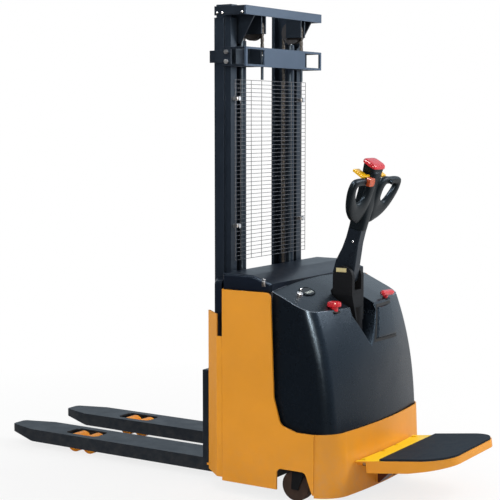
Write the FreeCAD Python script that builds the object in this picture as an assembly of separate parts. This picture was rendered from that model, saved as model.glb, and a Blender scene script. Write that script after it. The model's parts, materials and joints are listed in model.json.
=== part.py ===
import FreeCAD, Part
import math
import os

os.makedirs("parts", exist_ok=True)

V = FreeCAD.Vector
X = V(1, 0, 0)
Y = V(0, 1, 0)
Z = V(0, 0, 1)

# Walkie stacker, forks lowered. Millimetres, +Z up, +X towards the operator, floor at z = 0.
# The sizes below are measured along X from the fork heel (x = 0); HEEL_X moves the finished
# truck so that its origin lies on the floor, midway between the fork tips and the platform end.

# ---- clearances -----------------------------------------------------------------------------
RUN_FIT = 0.05            # radial clearance of a pin or shaft in its bore
TRACK_GAP = 0.3           # gap between a rolling or sliding face and its track
CURVE_GAP = 0.3           # gap between curved faces of neighbouring pieces
MAST_GAP = 2.0            # gap between the nested mast channels
CARRIAGE_GAP = 2.0        # gap between the carriage and the inner mast

# ---- forks and support legs -----------------------------------------------------------------
FORK_LEN = 1150.0
FORK_W = 175.0
FORKS_OUTSIDE = 570.0
FORK_TOP = 88.0
FORK_BOTTOM = 30.0
FORK_PLATE = 8.0
TIP_TAPER = 150.0         # length over which the fork narrows
TIP_W = 84.0
TIP_R = 26.0
TIP_H = 35.0
BEVEL_LEN = 164.0         # bevelled underside behind the tip
POCKET_END = 200.0        # solid nose ahead of the fork pocket
SHANK_FRONT = -18.0
SHANK_T = 30.0
SHANK_TOP = 469.0
LEG_CLEAR = 12.0          # between fork side plate and support leg
LEG_TOP = 74.0
LEG_BOTTOM = 24.0
LEG_PLATE = 8.0
LEG_END = 825.0           # length of a leg ahead of the heel
LEG_BACK = 150.0
LOAD_D = 84.0
LOAD_W = 80.0
LOAD_PITCH = 86.0
LOAD_FRONT = 773.0        # front load roller, ahead of the heel
LOAD_AXLE_D = 20.0
SLOT_LEN = 182.0
SLOT_W = 100.0

# ---- mast -----------------------------------------------------------------------------------
CHANNEL_D = 75.0          # channel depth, front to back
CHANNEL_WEB = 10.0
CHANNEL_FLANGE = 14.0
INNER_FRONT = 30.0
INNER_W = 45.0
OUTER_FRONT = 57.0
OUTER_W = 44.0
OUTER_HALF = 289.0        # outer face of the outer web
STIFFENER_W = 47.0
STIFFENER_T = 10.0
OUTER_TOP = 1950.0
INNER_TOP = 2008.0
INNER_BOTTOM = 86.0
ROLLER_W = 24.0
ROLLER_AXLE_D = 20.0
MAST_ROLLER_Z = 112.0
PAD_H = 60.0
PAD_DROP = 12.0           # from the channel top to the slide pad
BEAM_REAR = 220.0         # rear face of both upper crossbars
BEAM_SIDE = 21.0          # from the outer web to a crossbar's end
BEAM_HALF = OUTER_HALF + BEAM_SIDE
BEAM_T = 8.0
TOP_BEAM_Z0 = 1958.0
TOP_BEAM_Z1 = 1995.0
ARM_FRONT = 65.0          # front end of the lifting crossbar's side arms
GUSSET_IN = 59.0          # gussets, in from the outer web
GUSSET_Y = OUTER_HALF - GUSSET_IN
GUSSET_Z = 1845.0         # lower end of the gussets behind the lifting channels
GUSSET_FOOT = 40.0
TOP_TIE_Z0 = 1749.0
TOP_TIE_Z1 = 1828.0
TIE_WINDOW_IN = 168.0
TIE_WINDOW_END = 13.0     # from a window to the crossbar's end
TIE_WINDOW_OUT = BEAM_HALF - TIE_WINDOW_END
TIE_STRAP = 9.0
TIE_RIB_T = 8.0
TIE_BOLT_X = 133.0
TIE_LUG_REACH = 16.0      # side arms' front lugs, ahead of the fixed channels
TIE_LUG_RISE = 16.0       # lug's lower edge over the crossbar's
TIE_LUG_H = 50.0
LOW_TIE_Z0 = 846.0
LOW_TIE_Z1 = 901.0
SHELF_Z = 1760.0
SHELF_T = 12.0

# ---- lift cylinders and chains --------------------------------------------------------------
CYL_X = 125.2
CYL_IN = 93.0             # cylinder's centre line, in from the outer web
CYL_Y = OUTER_HALF - CYL_IN
CYL_D = 38.0
CYL_BORE = 30.0
CYL_TOP = 1830.0
GLAND_D = 39.0
GLAND_H = 28.0
ROD_D = 22.0
ROD_BOTTOM = 110.0
CYL_BASE = 16.0
CHAIN_IN = 128.0          # chain's centre line, in from the outer web
CHAIN_Y = OUTER_HALF - CHAIN_IN
CHAIN_W = 16.0
CHAIN_T = 10.0
PULLEY_X = 159.0
PULLEY_Z = 1908.0
PULLEY_ROOT = 40.0        # groove radius under the chain
PULLEY_RIM = 49.0
PULLEY_W = 24.0
PULLEY_PIN_D = 22.0
CHEEK_T = 6.0
CLEVIS_Z = 398.0
CLEVIS_H = 34.0
ANCHOR_D = 12.0
ANCHOR_BOTTOM = 1696.0
ANCHOR_TOP = 1796.0

# ---- fork carriage --------------------------------------------------------------------------
CROSS_T = 16.0
CROSS_HALF = 280.0
CARRIAGE_TOP = 465.0
CARRIAGE_BOTTOM = 95.0
CROSS_H = 80.0
SIDE_PLATE_T = 12.0
SIDE_PLATE_BACK = 95.0
UPPER_ROLLER_Z = 430.0
LOWER_ROLLER_Z = 140.0

# ---- mesh guard -----------------------------------------------------------------------------
GUARD_X = 152.0
GUARD_OVER = 1.0          # guard past the outer web
GUARD_HALF = OUTER_HALF + GUARD_OVER
GUARD_Z0 = 946.0
GUARD_Z1 = 1700.0
WIRE = 3.0
WIRE_PITCH_Z = 17.0
WIRE_PITCH_Y = 82.0
CLIP_IN = 27.0            # guard clips, in from the outer web
CLIP_Y = OUTER_HALF - CLIP_IN
CLIP_W = 24.0
CLIP_H = 14.0
CLIP_ZS = (1090.0, 1618.0)

# ---- chassis --------------------------------------------------------------------------------
CHASSIS_HALF = 425.0
PANEL_T = 8.0
FLOOR_T = 8.0
FLOOR_FRONT = 40.0
PILLAR_FRONT = 50.0
PILLAR_RETURN = 87.0      # width of a corner pillar's slanted face
PILLAR_IN = CHASSIS_HALF - PILLAR_RETURN
PILLAR_BACK = 150.0
PILLAR_TOP = 738.0
PILLAR_BOTTOM = 60.0
PANEL_FRONT = 176.0
PANEL_TOP = 842.0
PANEL_BACK = 407.0
PANEL_CORNER_R = 22.0
PANEL_BOTTOM = 46.0
PANEL_LOW_BACK = 610.0
PANEL_LOW_TOP = 290.0
SWEEP_X1 = 424.0
SWEEP_Z1 = 420.0
SWEEP_X2 = 455.0
SWEEP_Z2 = 313.0
SWEEP_X3 = 530.0
ARCH_X0 = 438.0
ARCH_X1 = 604.0
ARCH_X1_TOP = 570.0        # the arch's rear edge slants
ARCH_TOP = 134.0
ARCH_R = 22.0
FRONT_WALL_X = 160.0
WALL_T = 6.0
WALL_IN = 29.0            # end of the cross walls, in from the side
WALL_HALF = CHASSIS_HALF - WALL_IN
REAR_WALL_X = 392.0
COVER_SEAT = 842.0
DECK_Z = 236.0
DECK_T = 8.0
SKIRT_T = 5.0
SKIRT_Z0 = 35.0
SKIRT_REAR_TOP = 714.0
SKIRT_REAR_LOW = 728.0
SKIRT_CORNER_BACK = 20.0  # corner end, ahead of the rear centre line
SKIRT_CORNER_W = 120.0
SKIRT_CORNER_IN = CHASSIS_HALF - SKIRT_CORNER_W
SKIRT_SIDE_END = 575.0

# ---- hood and covers ------------------------------------------------------------------------
HOOD_T = 4.0
HOOD_FRONT = 400.0
HOOD_CORNER_W = 85.0
HOOD_CORNER_IN = CHASSIS_HALF - HOOD_CORNER_W
HOOD_Z = (244.3, 420.0, 600.0, 800.0, 930.0)
HOOD_SIDE_IN = (21.0, 22.0, 24.0, 28.0, 31.0)
HOOD_HALF = tuple(CHASSIS_HALF - step for step in HOOD_SIDE_IN)
HOOD_SIDE_END = (602.0, 594.0, 560.0, 494.0, 436.0)
HOOD_CORNER = (679.0, 666.0, 636.0, 572.0, 514.0)
HOOD_REAR = (706.0, 697.0, 674.0, 618.0, 562.0)
HOOD_TOP_FRONT = 872.0
HOOD_SLOPE = 24.5         # degrees, hood top falls towards the operator
HOOD_CROWN_R = 3400.0     # radius of the crowned hood top
COVER_TOP = 905.0
COVER_FLAT = 300.0        # flat part of the battery cover ends here
COVER_IN = 25.0           # covers, in from the side
COVER_HALF = CHASSIS_HALF - COVER_IN
COVER_T = 4.0
COVER_R = 16.0
COVER_SEAM = 2.0
BASE_COVER_TOP = 874.0
BASE_COVER_NOSE = 124.0   # where its slanted front meets the outer side
WELL_R = 97.0
WELL_Z = 735.0            # the well is V-shaped below this
WELL_TIP_Z = 598.0
HOOD_OPEN_DROP = 46.0     # from the hood top to its open front
HATCH_Y0 = 50.0
HATCH_Y1 = 205.0
HATCH_Z0 = 622.0
HATCH_Z1 = 756.0
HATCH_PROUD = 3.0

# ---- pieces under the hood ------------------------------------------------------------------
BATTERY_X0 = 170.0
BATTERY_X1 = 388.0
BATTERY_IN = 71.0         # battery, in from the cross walls' ends
BATTERY_HALF = WALL_HALF - BATTERY_IN
BATTERY_TOP = 730.0
BATTERY_LIFT = 22.0       # bearers under the battery
TANK_X0 = 412.0
TANK_X1 = 520.0
TANK_Y0 = 190.0
TANK_IN = 16.0            # tank, in from the cross walls' ends
TANK_Y1 = WALL_HALF - TANK_IN
TANK_TOP = 520.0
PUMP_X = 468.0
PUMP_Y = 118.0
PUMP_D = 110.0
PUMP_H = 190.0
PIPE_D = 10.0
PIPE_HOLE_D = 16.0
PIPE_STAND = 3.0          # cross pipe, back from the cylinders
ELBOW_W = 15.0            # block elbows of the pipe
PIPE_RISE = 11.0          # pipe centre above the floor plate
CTRL_X0 = 412.0
CTRL_X1 = 480.0
CTRL_IN = 11.0
CTRL_Y0 = CTRL_IN - WALL_HALF
CTRL_Y1 = -205.0
CTRL_H = 150.0

# ---- drive unit, casters --------------------------------------------------------------------
STEER_X = 588.0
STEER_Y = -54.0
DRIVE_D = 210.0
DRIVE_W = 72.0
TYRE_T = 18.0
DRIVE_AXLE_D = 30.0
TURN_D = 190.0
TURN_H = 26.0
GEAR_T = 46.0
GEAR_D = 120.0
GEAR_ARM_W = 110.0
MOTOR_D = 130.0
MOTOR_H = 190.0
CASTER_X = 526.0
CASTER_IN = 59.0          # caster, in from the side
CASTER_Y = CHASSIS_HALF - CASTER_IN
CASTER_TRAIL = 20.0
CASTER_D = 125.0
CASTER_W = 45.0
CASTER_AXLE_D = 12.0
CASTER_CHEEK = 5.0
CASTER_SIDE_GAP = 2.0
CASTER_TOP_Z = 136.0
CASTER_TOP_D = 80.0
CASTER_PLATE_T = 8.0
CASTER_STEM_D = 24.0
CASTER_STEM_H = 40.0
CASTER_BLOCK = 76.0

# ---- tiller ---------------------------------------------------------------------------------
PIVOT_X = 560.0
PIVOT_Z = 885.0
TILLER_LEAN = 15.0        # degrees towards the operator at rest
COLUMN_D = 70.0
COLUMN_GAP = 4.0          # between the turning column and the hood
COLUMN_TOP = 760.0
YOKE_X = 92.0
YOKE_Y = 100.0
YOKE_Z0 = 745.0
YOKE_TOP_R = 46.0
YOKE_SLOT = 58.0
YOKE_SLOT_Z = 830.0
TILT_PIN_D = 18.0
ARM_HUB_D = 70.0
ARM_W = 54.0
ARM_OUTLINE = ((-60.0, 0.0), (-60.0, 62.0), (-48.0, 110.0), (-42.0, 160.0), (-40.0, 262.0),
               (20.0, 262.0), (20.0, 150.0), (30.0, 60.0), (35.0, 0.0))
ARM_ROUND_S = 50.0        # edges are rounded above this
NECK_S0 = 224.0
NECK_S1 = 330.0
NECK_D0 = -46.0
NECK_D1 = 26.0
NECK_HALF = 34.0
HEAD_S0 = 226.0
HEAD_LEAN = 7.0           # degrees the grips lean back from the arm
HEAD_T = 34.0
HEAD_HALF = 215.0
HEAD_R = 10.0
GRIP_TOP_S = 434.0
CONSOLE_HALF = 44.0
CONSOLE_D0 = -40.0
CONSOLE_D1 = 24.0
CONSOLE_S0 = 300.0
CONSOLE_S1 = 456.0
HOLE_S0 = 328.0
HOLE_S1 = 402.0
HOLE_Y0 = 72.0
HOLE_Y1 = 168.0
BELLY_H = 36.0
BELLY_R = 54.0
BELLY_TRAVEL = 10.0
BELLY_GRIP = 10.0         # how far the collar reaches into the button at rest
THROTTLE_S = 432.0
THROTTLE_P = 0.0
THROTTLE_D = 16.0
WING_LEN = 58.0
WING_W = 56.0
WING_FOLD = 70.0         # degrees, wings lean forward of the arm
WING_T = 12.0
BUTTON_S = 418.0
BUTTON_Y = 94.0
ROCKER_W = 44.0
ROCKER_L = 20.0
ROCKER_H = 10.0
ROCKER_D = 18.0
ROCKER_LIFT = 2.0         # gap under the rocker's plate
ROCKER_SWING = 8.0
HORN_D = 18.0
HORN_H = 9.0
HORN_TRAVEL = 3.0

# ---- dash controls --------------------------------------------------------------------------
STOP_X = 600.0
STOP_IN = 185.0           # button, in from the side
STOP_Y = STOP_IN - CHASSIS_HALF
STOP_D = 52.0
STOP_CAP_H = 15.0
STOP_STEM_D = 30.0
STOP_STEM_H = 14.0
STOP_TRAVEL = 8.0
MAIN_X = 606.0
MAIN_IN = 229.0
MAIN_Y = CHASSIS_HALF - MAIN_IN
MAIN_GRIP_L = 75.0
MAIN_GRIP_W = 25.0
MAIN_GRIP_H = 22.0
MAIN_STEM_D = 14.0
MAIN_STEM_H = 22.0
MAIN_TRAVEL = 20.0
KEY_X = 470.0
KEY_IN = 125.0
KEY_Y = KEY_IN - CHASSIS_HALF
KEY_BARREL_D = 26.0
KEY_BARREL_H = 10.0
KEY_D = 6.0
KEY_BOW_L = 22.0
KEY_BOW_W = 20.0
KEY_BOW_T = 3.0
GAUGE_X = 468.0
GAUGE_IN = 189.0
GAUGE_Y = GAUGE_IN - CHASSIS_HALF
GAUGE_L = 46.0
GAUGE_W = 62.0
GAUGE_H = 5.0
SINK = 8.0                # how far a control passes down through the hood
SEAT_GAP = 0.3            # between a control's foot and the hood

# ---- platform -------------------------------------------------------------------------------
HINGE_X = 743.0
HINGE_Z = 155.5
PLATFORM_END = 1118.0
PLATFORM_HALF = 268.0
PLATFORM_TILT = 7.4
PLATFORM_T = 5.0
PLATFORM_RISE = 14.5      # plate top above the hinge axis
PLATFORM_FRONT = 690.0
PLATFORM_GAP = 7.0        # between the plate's bowed front edge and the skirt
PLATFORM_R = 120.0
MAT_FRONT = 822.0         # a bare strip lies ahead of the mat
MAT_T = 8.0
MAT_EDGE = 5.0
RIM_T = 5.0
RIM_DEEP = 48.0
RIM_SHALLOW = 30.0
RIM_KNEE = 200.0          # the rim has its full depth this far behind the hinge
HINGE_PIN_D = 12.0
KNUCKLE_D = 18.0
LUG_T = 14.0
LUG_YS = (236.0, 60.0)
SPRING_WIRE = 2.4
SPRING_TURNS = 9
SPRING_PITCH = 3.2
SPRING_GAP = 0.4
NOTCH_GAP = 1.5           # around a skirt ear in the plate's edge
STOP_YS = (30.0, 110.0)  # landing stops under the platform
STOP_PROFILE = ((712.0, 48.0), (742.0, 48.0), (812.0, 118.0), (812.0, 164.0), (757.0, 164.0), (757.0, 136.0),
                (712.0, 136.0))

# ---- fasteners ------------------------------------------------------------------------------
BOLT_AF = 17.0
BOLT_HEAD = 7.0
BOLT_D = 10.0
NUT_AF = 13.0
NUT_H = 10.0

HEEL_X = (FORK_LEN - PLATFORM_END) / 2


# ---- small shape helpers --------------------------------------------------------------------
def box(x0, x1, y0, y1, z0, z1):
    """Block between two corners, given in any order."""
    low = V(min(x0, x1), min(y0, y1), min(z0, z1))
    return Part.makeBox(abs(x1 - x0), abs(y1 - y0), abs(z1 - z0), low)


def rod(diameter, start, end):
    """Solid cylinder between two points."""
    run = end - start
    return Part.makeCylinder(diameter / 2, run.Length, start, run)


def fuse(shapes):
    """Union of shapes as one clean solid."""
    whole = shapes[0].multiFuse(shapes[1:]) if len(shapes) > 1 else shapes[0]
    return whole.removeSplitter()


def cut(shape, tools):
    """Shape less every tool."""
    return shape.cut(tools).removeSplitter()


def prism_y(points, y0, y1):
    """Closed X-Z outline pushed from y0 to y1."""
    ring = [V(x, min(y0, y1), z) for x, z in points]
    face = Part.Face(Part.makePolygon(ring + ring[:1]))
    return face.extrude(V(0, abs(y1 - y0), 0))


def prism_z(points, z0, z1):
    """Closed X-Y outline pushed from z0 to z1."""
    ring = [V(x, y, z0) for x, y in points]
    face = Part.Face(Part.makePolygon(ring + ring[:1]))
    return face.extrude(V(0, 0, z1 - z0))


def other_side(shape):
    """Mirror image across the centre plane y = 0."""
    return shape.mirror(V(0, 0, 0), Y)


def fillet(shape, radius, pick):
    """Round the edges whose midpoint the rule picks."""
    edges = [e for e in shape.Edges if pick(e.CenterOfMass, e)]
    return shape.makeFillet(radius, edges)


def hexagon(across_flats, start, end):
    """Hexagonal head or nut along X, Y or Z."""
    run = end - start
    side = across_flats / math.sqrt(3)
    ring = [V(side * math.cos(math.radians(60 * i)), side * math.sin(math.radians(60 * i)), 0) for i in range(7)]
    solid = Part.Face(Part.makePolygon(ring)).extrude(V(0, 0, run.Length))
    solid.Placement = FreeCAD.Placement(start, FreeCAD.Rotation(Z, run))
    return solid


def save(name, shapes):
    """Write one node, moved from the heel datum to the truck's origin."""
    whole = Part.makeCompound(shapes) if len(shapes) > 1 else shapes[0]
    moved = whole.translated(V(HEEL_X, 0, 0))
    moved.exportStep("parts/" + name + ".step")


# ---- forks, legs, load rollers --------------------------------------------------------------
FORK_OUT = FORKS_OUTSIDE / 2
FORK_IN = FORK_OUT - FORK_W
FORK_MID = (FORK_OUT + FORK_IN) / 2
LEG_OUT = FORK_OUT - FORK_PLATE - LEG_CLEAR
LEG_IN = FORK_IN + FORK_PLATE + LEG_CLEAR
LOAD_XS = (-LOAD_FRONT, -LOAD_FRONT + LOAD_PITCH)
SLOT_X = sum(LOAD_XS) / 2
SHANK_BACK = SHANK_FRONT + SHANK_T


def fork():
    """Fork of inverted-U section with its upright shank, on the +Y side."""
    tip_out = FORK_MID + TIP_W / 2
    tip_in = FORK_MID - TIP_W / 2
    taper_x = -FORK_LEN + TIP_TAPER
    plan = prism_z([(SHANK_BACK, FORK_IN), (taper_x, FORK_IN), (-FORK_LEN, tip_in), (-FORK_LEN, tip_out),
                    (taper_x, FORK_OUT), (SHANK_BACK, FORK_OUT)], FORK_BOTTOM, FORK_TOP)
    plan = fillet(plan, TIP_R, lambda c, e: c.x < -FORK_LEN + 1 and e.Vertexes[0].Point.z != e.Vertexes[1].Point.z)
    bevel_x = -FORK_LEN + BEVEL_LEN
    side = prism_y([(SHANK_BACK, FORK_BOTTOM), (bevel_x, FORK_BOTTOM), (-FORK_LEN, FORK_TOP - TIP_H),
                    (-FORK_LEN, FORK_TOP), (SHANK_BACK, FORK_TOP)], FORK_IN - 1, FORK_OUT + 1)
    blade = plan.common(side)
    pocket = box(-FORK_LEN + POCKET_END, SHANK_BACK + 1, FORK_IN + FORK_PLATE, FORK_OUT - FORK_PLATE,
                 FORK_BOTTOM - 1, FORK_TOP - FORK_PLATE)
    slot = box(SLOT_X - SLOT_LEN / 2, SLOT_X + SLOT_LEN / 2, FORK_MID - SLOT_W / 2, FORK_MID + SLOT_W / 2,
               FORK_TOP - FORK_PLATE - 1, FORK_TOP + 1)
    slot = fillet(slot, SLOT_W / 4, lambda c, e: abs(e.Vertexes[0].Point.z - e.Vertexes[1].Point.z) > 1)
    blade = cut(blade, [pocket, slot])
    shank = box(SHANK_FRONT, SHANK_BACK, FORK_IN, FORK_OUT, FORK_TOP - FORK_PLATE, SHANK_TOP)
    return fuse([blade, shank])


def support_leg():
    """Box leg that runs inside the fork, with the two load axles, on the +Y side."""
    outer = box(-LEG_END, LEG_BACK, LEG_IN, LEG_OUT, LEG_BOTTOM, LEG_TOP)
    hollow = box(-LEG_END - 1, LEG_BACK - LEG_PLATE, LEG_IN + LEG_PLATE, LEG_OUT - LEG_PLATE,
                 LEG_BOTTOM - 1, LEG_TOP - LEG_PLATE)
    window_back = SLOT_X + SLOT_LEN / 2 + FORK_PLATE
    window = box(-LEG_END - 1, window_back, LEG_IN + LEG_PLATE, LEG_OUT - LEG_PLATE, LEG_TOP - LEG_PLATE - 1, LEG_TOP + 1)
    axle_z = LOAD_D / 2
    holes = [rod(LOAD_AXLE_D, V(x, LEG_IN - 1, axle_z), V(x, LEG_OUT + 1, axle_z)) for x in LOAD_XS]
    leg = cut(outer, [hollow, window] + holes)
    axles = [rod(LOAD_AXLE_D, V(x, LEG_IN, axle_z), V(x, LEG_OUT, axle_z)) for x in LOAD_XS]
    return [leg] + axles


def load_roller(x):
    """Load roller with its bore, on the +Y side."""
    z = LOAD_D / 2
    y0 = FORK_MID - LOAD_W / 2
    y1 = FORK_MID + LOAD_W / 2
    tread = rod(LOAD_D, V(x, y0, z), V(x, y1, z))
    tread = tread.makeFillet(4, [e for e in tread.Edges if e.Curve.TypeId == "Part::GeomCircle"])
    bore = rod(LOAD_AXLE_D + 2 * RUN_FIT, V(x, y0 - 1, z), V(x, y1 + 1, z))
    return cut(tread, [bore])


# ---- mast -----------------------------------------------------------------------------------
OUTER_IN = OUTER_HALF - OUTER_W
INNER_HALF = OUTER_IN - MAST_GAP
INNER_IN = INNER_HALF - INNER_W
OUTER_BACK = OUTER_FRONT + CHANNEL_D
INNER_BACK = INNER_FRONT + CHANNEL_D
TRACK_W = CHANNEL_D - 2 * CHANNEL_FLANGE
ROLLER_D = TRACK_W - 2 * TRACK_GAP
MAST_ROLLER_X = OUTER_FRONT + CHANNEL_D / 2
CARRIAGE_ROLLER_X = INNER_FRONT + CHANNEL_D / 2
FLOOR_Z = LEG_TOP + FLOOR_T
TOWER_BACK = BEAM_REAR - BEAM_T


def channel(front, half, width, z0, z1):
    """C section open towards the centre, on the +Y side."""
    back = front + CHANNEL_D
    whole = box(front, back, half - width, half, z0, z1)
    groove = box(front + CHANNEL_FLANGE, back - CHANNEL_FLANGE, half - width - 1, half - CHANNEL_WEB, z0 - 1, z1 + 1)
    return cut(whole, [groove])


def outer_mast():
    """Fixed mast channel with its outside stiffener and top slide pad, on the +Y side."""
    rail = channel(OUTER_FRONT, OUTER_HALF, OUTER_W, FLOOR_Z, OUTER_TOP)
    stiffener = box(OUTER_FRONT, OUTER_FRONT + STIFFENER_W, OUTER_HALF, OUTER_HALF + STIFFENER_T, FLOOR_Z, OUTER_TOP)
    pad_top = OUTER_TOP - PAD_DROP
    pad = box(OUTER_FRONT + CHANNEL_FLANGE + TRACK_GAP, OUTER_BACK - CHANNEL_FLANGE - TRACK_GAP,
              INNER_HALF + TRACK_GAP, OUTER_HALF - CHANNEL_WEB, pad_top - PAD_H, pad_top)
    return [fuse([rail, stiffener]), pad]


def inner_mast():
    """Lifting mast channel with the stub axle of its foot roller, on the +Y side."""
    rail = channel(INNER_FRONT, INNER_HALF, INNER_W, INNER_BOTTOM, INNER_TOP)
    stub = rod(ROLLER_AXLE_D, V(MAST_ROLLER_X, INNER_HALF - CHANNEL_WEB / 2, MAST_ROLLER_Z),
               V(MAST_ROLLER_X, MAST_ROLLER_Y1, MAST_ROLLER_Z))
    return fuse([rail, stub])


MAST_ROLLER_Y0 = (OUTER_IN + OUTER_HALF - CHANNEL_WEB - ROLLER_W) / 2
MAST_ROLLER_Y1 = MAST_ROLLER_Y0 + ROLLER_W
CARRIAGE_ROLLER_Y0 = (INNER_IN + INNER_HALF - CHANNEL_WEB - ROLLER_W) / 2
CARRIAGE_ROLLER_Y1 = CARRIAGE_ROLLER_Y0 + ROLLER_W


def track_roller(x, y0, z):
    """Mast roller with its bore, on the +Y side."""
    body = rod(ROLLER_D, V(x, y0, z), V(x, y0 + ROLLER_W, z))
    body = body.makeChamfer(2, [e for e in body.Edges if e.Curve.TypeId == "Part::GeomCircle"])
    bore = rod(ROLLER_AXLE_D + 2 * RUN_FIT, V(x, y0 - 1, z), V(x, y0 + ROLLER_W + 1, z))
    return cut(body, [bore])


def pulley_cheeks(y):
    """Pair of plates that carry a chain pulley under the top crossbar."""
    plates = []
    for side in (-1, 1):
        near = y + side * (PULLEY_W / 2 + TRACK_GAP)
        far = near + side * CHEEK_T
        plates.append(box(PULLEY_X - PULLEY_PIN_D, TOWER_BACK, near, far, PULLEY_Z - PULLEY_PIN_D, TOP_BEAM_Z1 - BEAM_T))
    return plates


def inner_top_beam():
    """Crossbar of the lifting mast: a loop over the outer mast that carries the chain pulleys."""
    rear = box(TOWER_BACK, BEAM_REAR, -BEAM_HALF, BEAM_HALF, TOP_BEAM_Z0, TOP_BEAM_Z1)
    lid_low = TOP_BEAM_Z1 - BEAM_T
    parts = [rear]
    for side in (-1, 1):
        parts.append(box(ARM_FRONT, BEAM_REAR, side * (BEAM_HALF - BEAM_T), side * BEAM_HALF, TOP_BEAM_Z0, TOP_BEAM_Z1))
        parts.append(box(INNER_BACK, BEAM_REAR, side * (CHAIN_Y - PULLEY_W), side * BEAM_HALF, lid_low, TOP_BEAM_Z1))
        parts.append(box(ARM_FRONT, INNER_BACK + 1, side * INNER_HALF, side * BEAM_HALF, lid_low, TOP_BEAM_Z1))
        parts.append(prism_y([(INNER_BACK, lid_low + 1), (TOWER_BACK + 1, lid_low + 1), (TOWER_BACK + 1, TOP_BEAM_Z0),
                              (INNER_BACK + GUSSET_FOOT, GUSSET_Z), (INNER_BACK, GUSSET_Z)],
                             side * GUSSET_Y, side * (GUSSET_Y + BEAM_T)))
        parts += pulley_cheeks(side * CHAIN_Y)
    beam = fuse(parts)
    span = PULLEY_W / 2 + TRACK_GAP + CHEEK_T
    pins = []
    for side in (-1, 1):
        y = side * CHAIN_Y
        pins.append(rod(PULLEY_PIN_D, V(PULLEY_X, y - span, PULLEY_Z), V(PULLEY_X, y + span, PULLEY_Z)))
    return [cut(beam, pins)] + pins


def chain_pulley():
    """Grooved chain pulley, on the +Y side."""
    y0 = CHAIN_Y - PULLEY_W / 2
    y1 = CHAIN_Y + PULLEY_W / 2
    wheel = rod(2 * PULLEY_RIM, V(PULLEY_X, y0, PULLEY_Z), V(PULLEY_X, y1, PULLEY_Z))
    half = CHAIN_W / 2 + CURVE_GAP
    ring = rod(2 * PULLEY_RIM + 2, V(PULLEY_X, CHAIN_Y - half, PULLEY_Z), V(PULLEY_X, CHAIN_Y + half, PULLEY_Z))
    core = rod(2 * PULLEY_ROOT, V(PULLEY_X, CHAIN_Y - half, PULLEY_Z), V(PULLEY_X, CHAIN_Y + half, PULLEY_Z))
    bore = rod(PULLEY_PIN_D + 2 * RUN_FIT, V(PULLEY_X, y0 - 1, PULLEY_Z), V(PULLEY_X, y1 + 1, PULLEY_Z))
    return cut(wheel, [ring.cut(core), bore])


CHAIN_R0 = PULLEY_ROOT + CURVE_GAP
CHAIN_R1 = CHAIN_R0 + CHAIN_T
CHAIN_FRONT_X = PULLEY_X - CHAIN_R1
CHAIN_REAR_X = PULLEY_X + CHAIN_R0


def chain_front():
    """Chain from the carriage up and over the pulley, on the +Y side."""
    y0 = CHAIN_Y - CHAIN_W / 2
    y1 = CHAIN_Y + CHAIN_W / 2
    run = box(CHAIN_FRONT_X, CHAIN_FRONT_X + CHAIN_T, y0, y1, CLEVIS_Z + CLEVIS_H, PULLEY_Z)
    outer = rod(2 * CHAIN_R1, V(PULLEY_X, y0, PULLEY_Z), V(PULLEY_X, y1, PULLEY_Z))
    inner = rod(2 * CHAIN_R0, V(PULLEY_X, y0 - 1, PULLEY_Z), V(PULLEY_X, y1 + 1, PULLEY_Z))
    lower = box(PULLEY_X - CHAIN_R1 - 1, PULLEY_X + CHAIN_R1 + 1, y0 - 1, y1 + 1, PULLEY_Z - CHAIN_R1 - 1, PULLEY_Z)
    wrap = outer.cut([inner, lower])
    return fuse([run, wrap])


def chain_rear():
    """Chain from the pulley down to its anchor, on the +Y side."""
    return box(CHAIN_REAR_X, CHAIN_REAR_X + CHAIN_T, CHAIN_Y - CHAIN_W / 2, CHAIN_Y + CHAIN_W / 2,
               ANCHOR_TOP, PULLEY_Z - TRACK_GAP)


CHAIN_ANCHOR_X = CHAIN_REAR_X + CHAIN_T / 2


def chain_anchor():
    """Threaded anchor rod with its nut under the shelf, on the +Y side."""
    screw = rod(ANCHOR_D, V(CHAIN_ANCHOR_X, CHAIN_Y, ANCHOR_BOTTOM), V(CHAIN_ANCHOR_X, CHAIN_Y, ANCHOR_TOP))
    nut = hexagon(NUT_AF, V(CHAIN_ANCHOR_X, CHAIN_Y, SHELF_Z - NUT_H), V(CHAIN_ANCHOR_X, CHAIN_Y, SHELF_Z))
    return fuse([screw, nut])


SPACER_Y0 = OUTER_IN + 6
SPACER_Y1 = OUTER_HALF - 6
BRACKET_FRONT = GUARD_X - WIRE - BEAM_T + 4


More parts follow.
